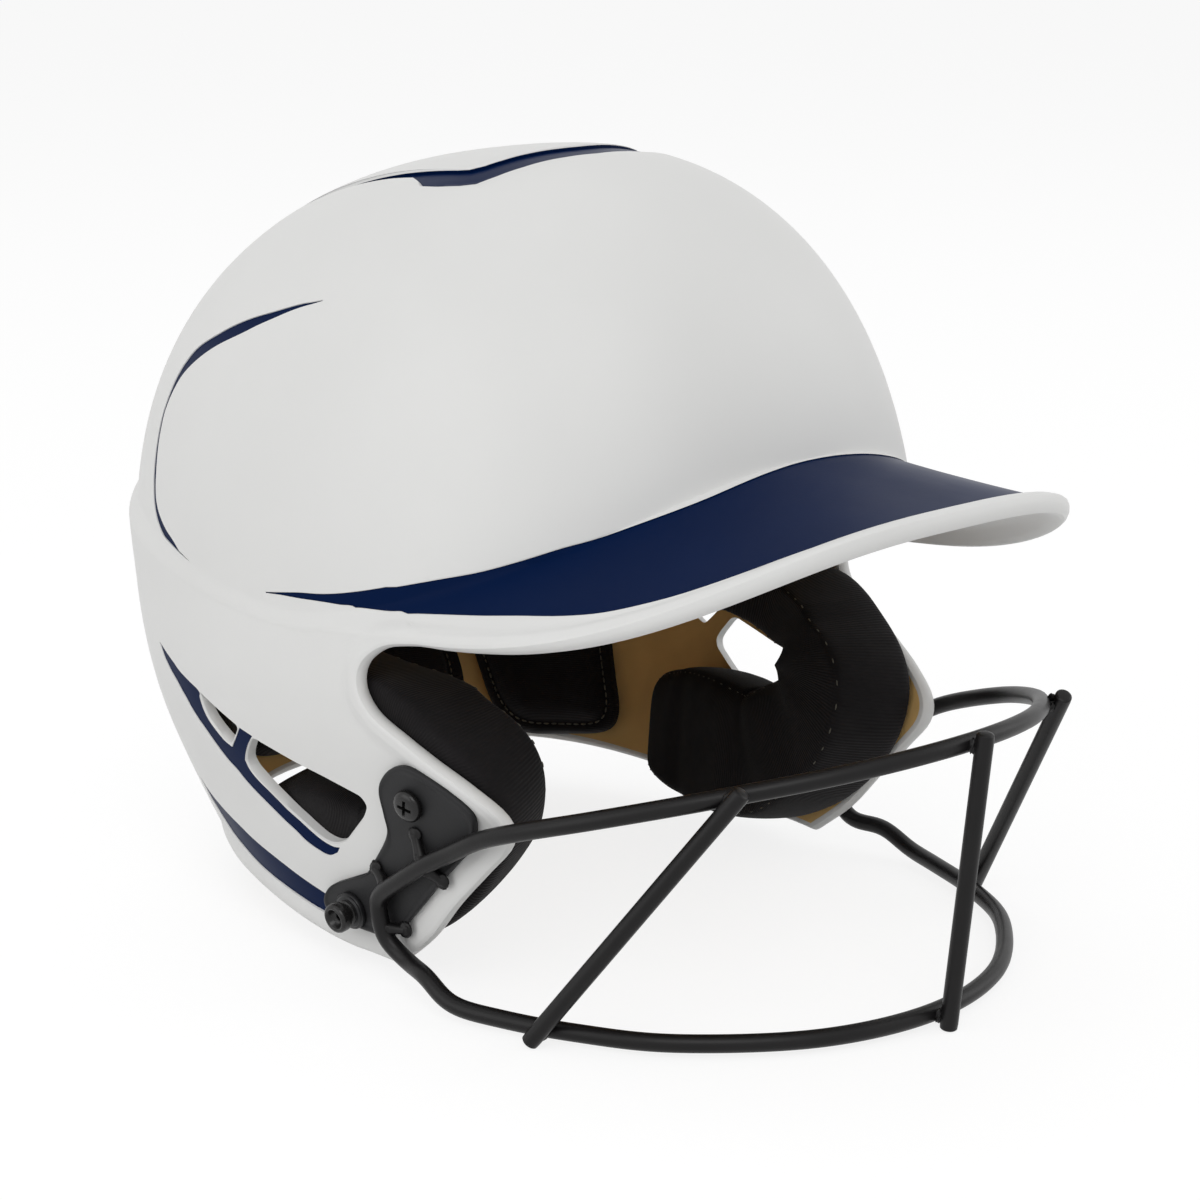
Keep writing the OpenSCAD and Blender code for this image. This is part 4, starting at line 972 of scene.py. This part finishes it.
stud_profile = [
    (0, NUT_OUT - 0.4), (2.1, NUT_OUT - 0.4), (2.5, NUT_OUT), (2.5, washer_top - 0.1), (3.9, washer_top),
    (3.8, washer_top + 0.5), (3.3, washer_top + 0.9), (3.3, washer_top + 1.5), (3.75, washer_top + 1.8),
    (4.25, washer_top + 2.1), (4.5, washer_top + 2.6), (4.55, washer_top + 3.2), (4.5, stud_top - 1.0),
    (4.3, stud_top - 0.45), (3.9, stud_top - 0.12), (3.5, stud_top), (3.15, stud_top - 0.1),
    (2.9, stud_top - 0.4), (2.6, stud_top - 1.2), (2.1, stud_top - 2.0), (1.7, stud_top - 2.3),
    (0, stud_top - 2.3)]
hollow = [socket(1.25, stud_top - 2.2, stud_top - 3.4)]
nut_profile = [(0, NUT_OUT), (6.0, NUT_OUT), (6.5, NUT_OUT + 0.4), (6.5, NUT_OUT + 1.3), (6.2, NUT_OUT + 1.6),
               (0, NUT_OUT + 1.6)]
kinds = [("pan_screws", SCREW, screw_profile, SCREW_AT, cross, "screw_black", "upper_screws"),
         ("snap_caps", SCREW, stud_profile, STUD_AT, hollow, "screw_black", "snap_studs"),
         ("cap_washers", WASHER, washer_profile, STUD_AT, (), "washer_black", "stud_washers"),
         ("upper_flange_nuts", STEEL, nut_profile, SCREW_AT, (), "nut_steel", "upper_nuts"),
         ("lower_flange_nuts", STEEL, nut_profile, STUD_AT, (), "nut_steel", "stud_nuts")]
for name, finish, profile, at, recess, slot_name, node in kinds:
    pair = [fastener(name, finish, profile, at, s, recess) for s in (-1, 1)]
    piece(join(name, pair), slot_name, node)


# Pads
PAD_IN = -WALL_T - SEAT
EAR_T, CROWN_T, BROW_T, REAR_T = 27.0, 14.0, 12.0, 13.0
# The middle of an ear pad along its length: y and z in the head frame, and its width there.
EAR_LINE = np.reshape((27, -16, 17, 15, -17, 26, 5, -17.5, 23.5, -21, -25.5, 29, -35.5, -33.5, 23,
    -39.5, -47, 40.5, -34, -60.5, 35, -18, -70.5, 39, -6, -75, 42, 10, -74, 45,
    21.5, -73, 44.5, 31.5, -72.2, 42, 40.5, -70.5, 35, 47, -70, 16), (-1, 3))
# Section across an ear pad: share of the half width, share of the thickness. The dips are its two seams.
EAR_SECTION = pairs(-0.80, 0.0, -0.93, 0.03, -0.985, 0.12, -1.0, 0.25, -1.0, 0.42, -0.995, 0.60, -0.975, 0.76,
    -0.945, 0.85, -0.905, 0.87, -0.87, 0.91, -0.80, 0.955, -0.66, 0.98, -0.45, 0.99, -0.22, 0.995, 0, 0.995,
    0.22, 0.995, 0.45, 0.995, 0.66, 0.99, 0.79, 0.99, 0.855, 0.985, 0.885, 0.955, 0.92, 0.945, 0.955, 0.86,
    0.98, 0.70, 1.0, 0.48, 1.0, 0.25, 0.985, 0.12, 0.93, 0.03, 0.80, 0.0, 0.4, 0.0, 0, 0.0, -0.4, 0.0)
SEAMS = (8, 20)      # places of the seams in the section
N_EAR = 170
EAR_LENGTH, EAR_GIRTH = 235.0, (16, 25)      # about, for the weave
WRINKLE, THREAD_LIFT = 0.25, 0.25
NUT_ROOM = 2.4       # how far a pad's back makes room for a nut


def ear_frame(t):
    """Middle line, direction and fullness of an ear pad at share t of its length."""
    c = curve(EAR_LINE, t)
    d = unit((curve(EAR_LINE, np.minimum(t + 0.01, 1)) - curve(EAR_LINE, np.maximum(t - 0.01, 0)))[:, :2])
    return c, d, np.sqrt(np.maximum(0, 1 - np.abs(2 * t - 1) ** 14))


def ear_points(t, across, up_share, lift=0.0):
    """Points of an ear pad at t along it: across and up_share are shares of its half width and thickness."""
    c, d, end = ear_frame(t)
    front = smooth(0.2, 0.32, t) * smooth(0.62, 0.46, t)
    bend = smooth(0.2, 0.32, t) * smooth(0.5, 0.36, t)
    flare = 1 + (0.24 * front * (1 - up_share) + 0.144 * bend * up_share) * (across > 0)
    w = c[:, 2] / 2 * across * flare * (0.3 + 0.7 * end)
    tuft = 1 - 0.045 * np.abs(np.cos(np.pi * 5 * t)) ** 8
    h = EAR_T * up_share * (1 + 0.1 * bend - 0.06 * (front - bend)) * (0.25 + 0.75 * end) * tuft + lift
    y, z = c[:, 0] + d[:, 1] * w, c[:, 1] - d[:, 0] * w
    base = np.full_like(h, 0.0)
    for at in (SCREW_AT, STUD_AT):
        base = np.maximum(base, NUT_ROOM * smooth(9.0, 7.2, np.hypot(y - at[0], z - at[1])))
    return skin(y, z, PAD_IN - np.maximum(h, base))


def ear_pad(s, word):
    t = np.linspace(0, 1, N_EAR + 1)
    rows, uv = [], []
    girth = np.concatenate([[0], np.cumsum(np.linalg.norm(np.diff(EAR_SECTION * EAR_GIRTH, axis=0), axis=1))])
    wrinkle = WRINKLE * np.sin(t * 61 + 1.3) * np.sin(t * 23)
    for k, (a, h) in enumerate(EAR_SECTION):
        puff = wrinkle * (1 if 0.2 < h < 0.97 else 0)
        rows.append(ear_points(t, np.full_like(t, a), np.full_like(t, h), puff))
        uv.append(np.stack([girth[k] + 0 * t, t * EAR_LENGTH], -1))
    P = np.stack(rows, 1)
    faces = capped(*P.shape[:2])
    P = np.concatenate([P.reshape(-1, 3), [P[0].mean(0), P[-1].mean(0)]])
    uv = np.concatenate([np.stack(uv, 1).reshape(-1, 2), [[0, 0], [0, EAR_LENGTH]]])
    o = make("ear_cushion_" + word, stood(both_sides(P, s)), faces, [FABRIC], uv=uv)
    mod = o.modifiers.new("subd", "SUBSURF")
    mod.levels = mod.render_levels = 1
    settle(o)
    piece(o, "pad_fabric", "ear_pad_" + word)
    parts = []
    for k in SEAMS:
        a, h = EAR_SECTION[k]
        parts += stitches(lambda q: ear_points(q, np.full_like(q, a), np.full_like(q, h), THREAD_LIFT),
                          0.035, 0.965, EAR_LENGTH, long=1.1, pitch=4.6, r=0.2)
    P, F = combine(parts)
    piece(make("ear_seam_" + word, stood(both_sides(P, s)), F, [THREAD]), "pad_stitch")


def stitches(at, t0, t1, length, long, pitch, r):
    """Short threads along a seam. at() gives the seam's points for shares of its length."""
    count = int((t1 - t0) * length / pitch)
    parts = []
    for i in range(count):
        a = t0 + (t1 - t0) * (i + 0.5) / count
        q = a + np.array([-0.5, -0.3, 0, 0.3, 0.5]) * long / length
        parts.append(tube(at(q), r * np.array([0.5, 1, 1.15, 1, 0.5]), 6))
    return parts


# Profile of a flat cushion: share of its outline, share of its thickness. A low stitched border first.
BORDERED = pairs(0.3, 0, 0.6, 0, 0.88, 0, 0.965, 0.02, 0.995, 0.12, 1.0, 0.25, 0.995, 0.38, 0.97, 0.46,
    0.93, 0.475, 0.895, 0.45, 0.87, 0.47, 0.85, 0.56, 0.82, 0.70, 0.77, 0.82, 0.70, 0.90, 0.58, 0.955,
    0.42, 0.985, 0.2, 1.0)
BORDER_SEAM = (0.895, 0.45)
ROUND = pairs(0.3, 0, 0.6, 0, 0.88, 0, 0.965, 0.04, 0.99, 0.16, 1.0, 0.35, 0.995, 0.55, 0.975, 0.72,
    0.93, 0.84, 0.86, 0.91, 0.76, 0.955, 0.6, 0.98, 0.4, 0.995, 0.2, 1.0)
RIPPLE, SEAM_LIFT = 0.22, 0.3
BACK_U = 300         # sets a cushion's back apart from its front in the weave


def cushion(name, spot, power, thick, base, profile, node, size, seam=None):
    """A cushion on the shell's inner face. spot(a, b) gives point and normal for shares of its outline."""
    n = 168
    ang = np.arange(n) * 360 / n + 1

    def outline(a, r):
        return r * spow(cosd(a), 2 / power), r * spow(sind(a), 2 / power)
    rings, uv = [], []
    for r, h in curve(profile, np.linspace(0, 1, 46)):
        height = RIPPLE if 0.5 < h < 0.99 else 0
        ripple = height * np.sin(np.radians(ang) * 7 + r * 9) * np.sin(r * 14)
        a, b = outline(ang, r)
        P, N = spot(a, b)
        rings.append(P + (base - h * thick - ripple)[:, None] * N)
        uv.append(np.stack([a * size[0] + (0 if h > 0.3 else BACK_U), b * size[1]], -1))
    c0, n0 = spot(np.zeros(1), np.zeros(1))
    P = np.concatenate(rings + [c0 + base * n0, c0 + (base - thick) * n0])
    uv = np.concatenate(uv + [[[BACK_U, 0]], [[0, 0]]])
    o = make(name, stood(P), capped(len(rings), n), [FABRIC], uv=uv)
    piece(o, "pad_fabric", node)
    if seam:
        r, h = seam
        fine = np.linspace(0, 360, 1441)

        def line(share):
            P, N = spot(*outline(np.asarray(share) * 360 % 360, r))
            return P + (base - h * thick - SEAM_LIFT) * N
        cum = np.concatenate([[0], np.cumsum(np.linalg.norm(np.diff(line(fine / 360), axis=0), axis=1))])
        length = cum[-1]

        def even_line(q):
            return line(np.interp(np.asarray(q) % 1 * length, cum, fine) / 360)
        P, F = combine(stitches(even_line, 0, 1, length, long=1.9, pitch=2.6, r=0.3))
        piece(make(name + "_seam", stood(P), F, [THREAD]), "pad_stitch")


def wall_spot(phi, z, w, h, flip):
    """Places on the wall in a field w wide and h high round phi, z."""
    span = w / np.linalg.norm(wall(phi, z)) * 180 / np.pi

    def at(a, b):
        p, q = phi + a * span / 2, z + b * h / 2
        P, N = wall(p, q), wall_out(p, q)
        return (mirrored(P), mirrored(N)) if flip else (P, N)
    return at


CROWN_HALF_W, CROWN_HALF_L, CROWN_Y = 42, 62, 14
BROW_TH = float(dome_th(BROW_RISE)) + 14
BROW_SPAN, BROW_HALF_TH = 58, 9.5


def crown_spot(a, b):
    return on_top(np.stack([a * CROWN_HALF_W, CROWN_Y + b * CROWN_HALF_L], -1))


def brow_spot(a, b):
    phi, th = 270 + a * BROW_SPAN, BROW_TH + b * BROW_HALF_TH
    n = np.cross(dome(phi + 0.5, th) - dome(phi - 0.5, th), dome(phi, th + 0.5) - dome(phi, th - 0.5))
    return dome(phi, th), unit(n)


REAR_Z, REAR_W, REAR_H, SIDE_PAD_W, REAR_POWER = -38.0, 128.0, 46.0, 70.0, 4.2
REAR_LOW, SIDE_PAD_LOW, SIDE_PAD_PHI = 7, 16, 46
for s, word in ((-1, "right"), (1, "left")):
    ear_pad(s, word)
    spot = wall_spot(SIDE_PAD_PHI, REAR_Z - SIDE_PAD_LOW, SIDE_PAD_W, REAR_H, s < 0)
    cushion("rear_side_cushion_" + word, spot, REAR_POWER, REAR_T, PAD_IN, BORDERED, "rear_pad_" + word,
            (SIDE_PAD_W / 2, REAR_H / 2), BORDER_SEAM)
cushion("rear_cushion", wall_spot(90, REAR_Z - REAR_LOW, REAR_W, REAR_H, False), REAR_POWER, REAR_T, PAD_IN,
        BORDERED, "rear_pad", (REAR_W / 2, REAR_H / 2), BORDER_SEAM)
cushion("crown_cushion", crown_spot, 3, CROWN_T, PAD_IN - 1.4 * SEAT, ROUND, "crown_pad",
        (CROWN_HALF_W, CROWN_HALF_L))
cushion("brow_cushion", brow_spot, 4, BROW_T, PAD_IN - SEAT, ROUND, "forehead_pad", (95, 20))


# Floor, light and camera
FLOOR_HALF, FLOOR_SCALE, FLOOR_GREY = 1000, 6.0, 0.82
GLOW, GLOW_SHARE = 1.11, 0.75                # a nearly white floor that still shows a soft shadow
SKY_LIGHT, SKY_SEEN = 0.5, 1.0


def fresh(tree, out):
    """Empties the tree and gives its new output node and its way to link."""
    tree.nodes.clear()
    return put(tree, out), tree.links.new


def seen(tree):
    """1 for what the camera, reflections and see-through rays meet, 0 for the light itself."""
    path = put(tree, "LightPath")
    value = path.outputs["Is Camera Ray"]
    for ray in ("Is Glossy Ray", "Is Transmission Ray"):
        either = put(tree, "Math")
        either.operation = "MAXIMUM"
        tree.links.new(value, either.inputs[0])
        tree.links.new(path.outputs[ray], either.inputs[1])
        value = either.outputs[0]
    return value


corners = [[x * FLOOR_HALF, y * FLOOR_HALF, 0] for x, y in ((-1, -1), (1, -1), (1, 1), (-1, 1))]
floor = make("floor", corners, [[0, 1, 2, 3]], [])
floor.scale = (FLOOR_SCALE, FLOOR_SCALE, 1)
floor_mat = bpy.data.materials.new("pale_floor")
floor_mat.use_nodes = True
tree = floor_mat.node_tree
out, link = fresh(tree, "OutputMaterial")
plain = put(tree, "BsdfDiffuse", Color=(FLOOR_GREY, FLOOR_GREY, FLOOR_GREY, 1))
glow = put(tree, "Emission", Strength=GLOW)
blend = put(tree, "MixShader")
share = put(tree, "Math")
share.operation = "MULTIPLY"
share.inputs[1].default_value = GLOW_SHARE
link(seen(tree), share.inputs[0])
link(share.outputs[0], blend.inputs[0])
link(plain.outputs[0], blend.inputs[1])
link(glow.outputs[0], blend.inputs[2])
link(blend.outputs[0], out.inputs[0])
floor.data.materials.append(floor_mat)

world = bpy.data.worlds.new("studio")
bpy.context.scene.world = world
world.use_nodes = True
tree = world.node_tree
out, link = fresh(tree, "OutputWorld")
sky = put(tree, "Background", Color=(1, 1, 1, 1))
level = put(tree, "MapRange", To_Min=SKY_LIGHT, To_Max=SKY_SEEN)
link(seen(tree), level.inputs["Value"])
link(level.outputs["Result"], sky.inputs["Strength"])
link(sky.outputs[0], out.inputs[0])

AIM = Vector((0, -0.02, 0.11))
# Each lamp: its name, its place and size in metres, and its power in watts.
LAMPS = [("key", (-1.1, -1.3, 1.7), 1.3, 14), ("side", (-1.7, 0.3, 0.7), 1.4, 8),
         ("fill", (1.6, -1.0, 0.9), 1.4, 8), ("top", (0.3, 0.7, 2.0), 1.6, 5.5)]
for name, place, size, power in LAMPS:
    lamp = bpy.data.lights.new(name, "AREA")
    lamp.shape = "SQUARE"
    lamp.size = size
    lamp.energy = power
    o = bpy.data.objects.new(name, lamp)
    o.location = place
    o.rotation_euler = (AIM - Vector(place)).to_track_quat("-Z", "Y").to_euler()
    bpy.context.scene.collection.objects.link(o)

# The photo's camera, solved from the outline.
CAMERA_AT, CAMERA_WAY, LENS = (-0.6066, -0.6614, 0.3296), (0.6575, 0.7100, -0.2521), 90.66
camera = bpy.data.cameras.new("camera")
camera.sensor_width = 36
camera.lens = LENS
view = bpy.data.objects.new("camera", camera)
view.location = CAMERA_AT
view.rotation_euler = Vector(CAMERA_WAY).to_track_quat("-Z", "Y").to_euler()
bpy.context.scene.collection.objects.link(view)
bpy.context.scene.camera = view
bpy.context.scene.view_settings.view_transform = "Standard"
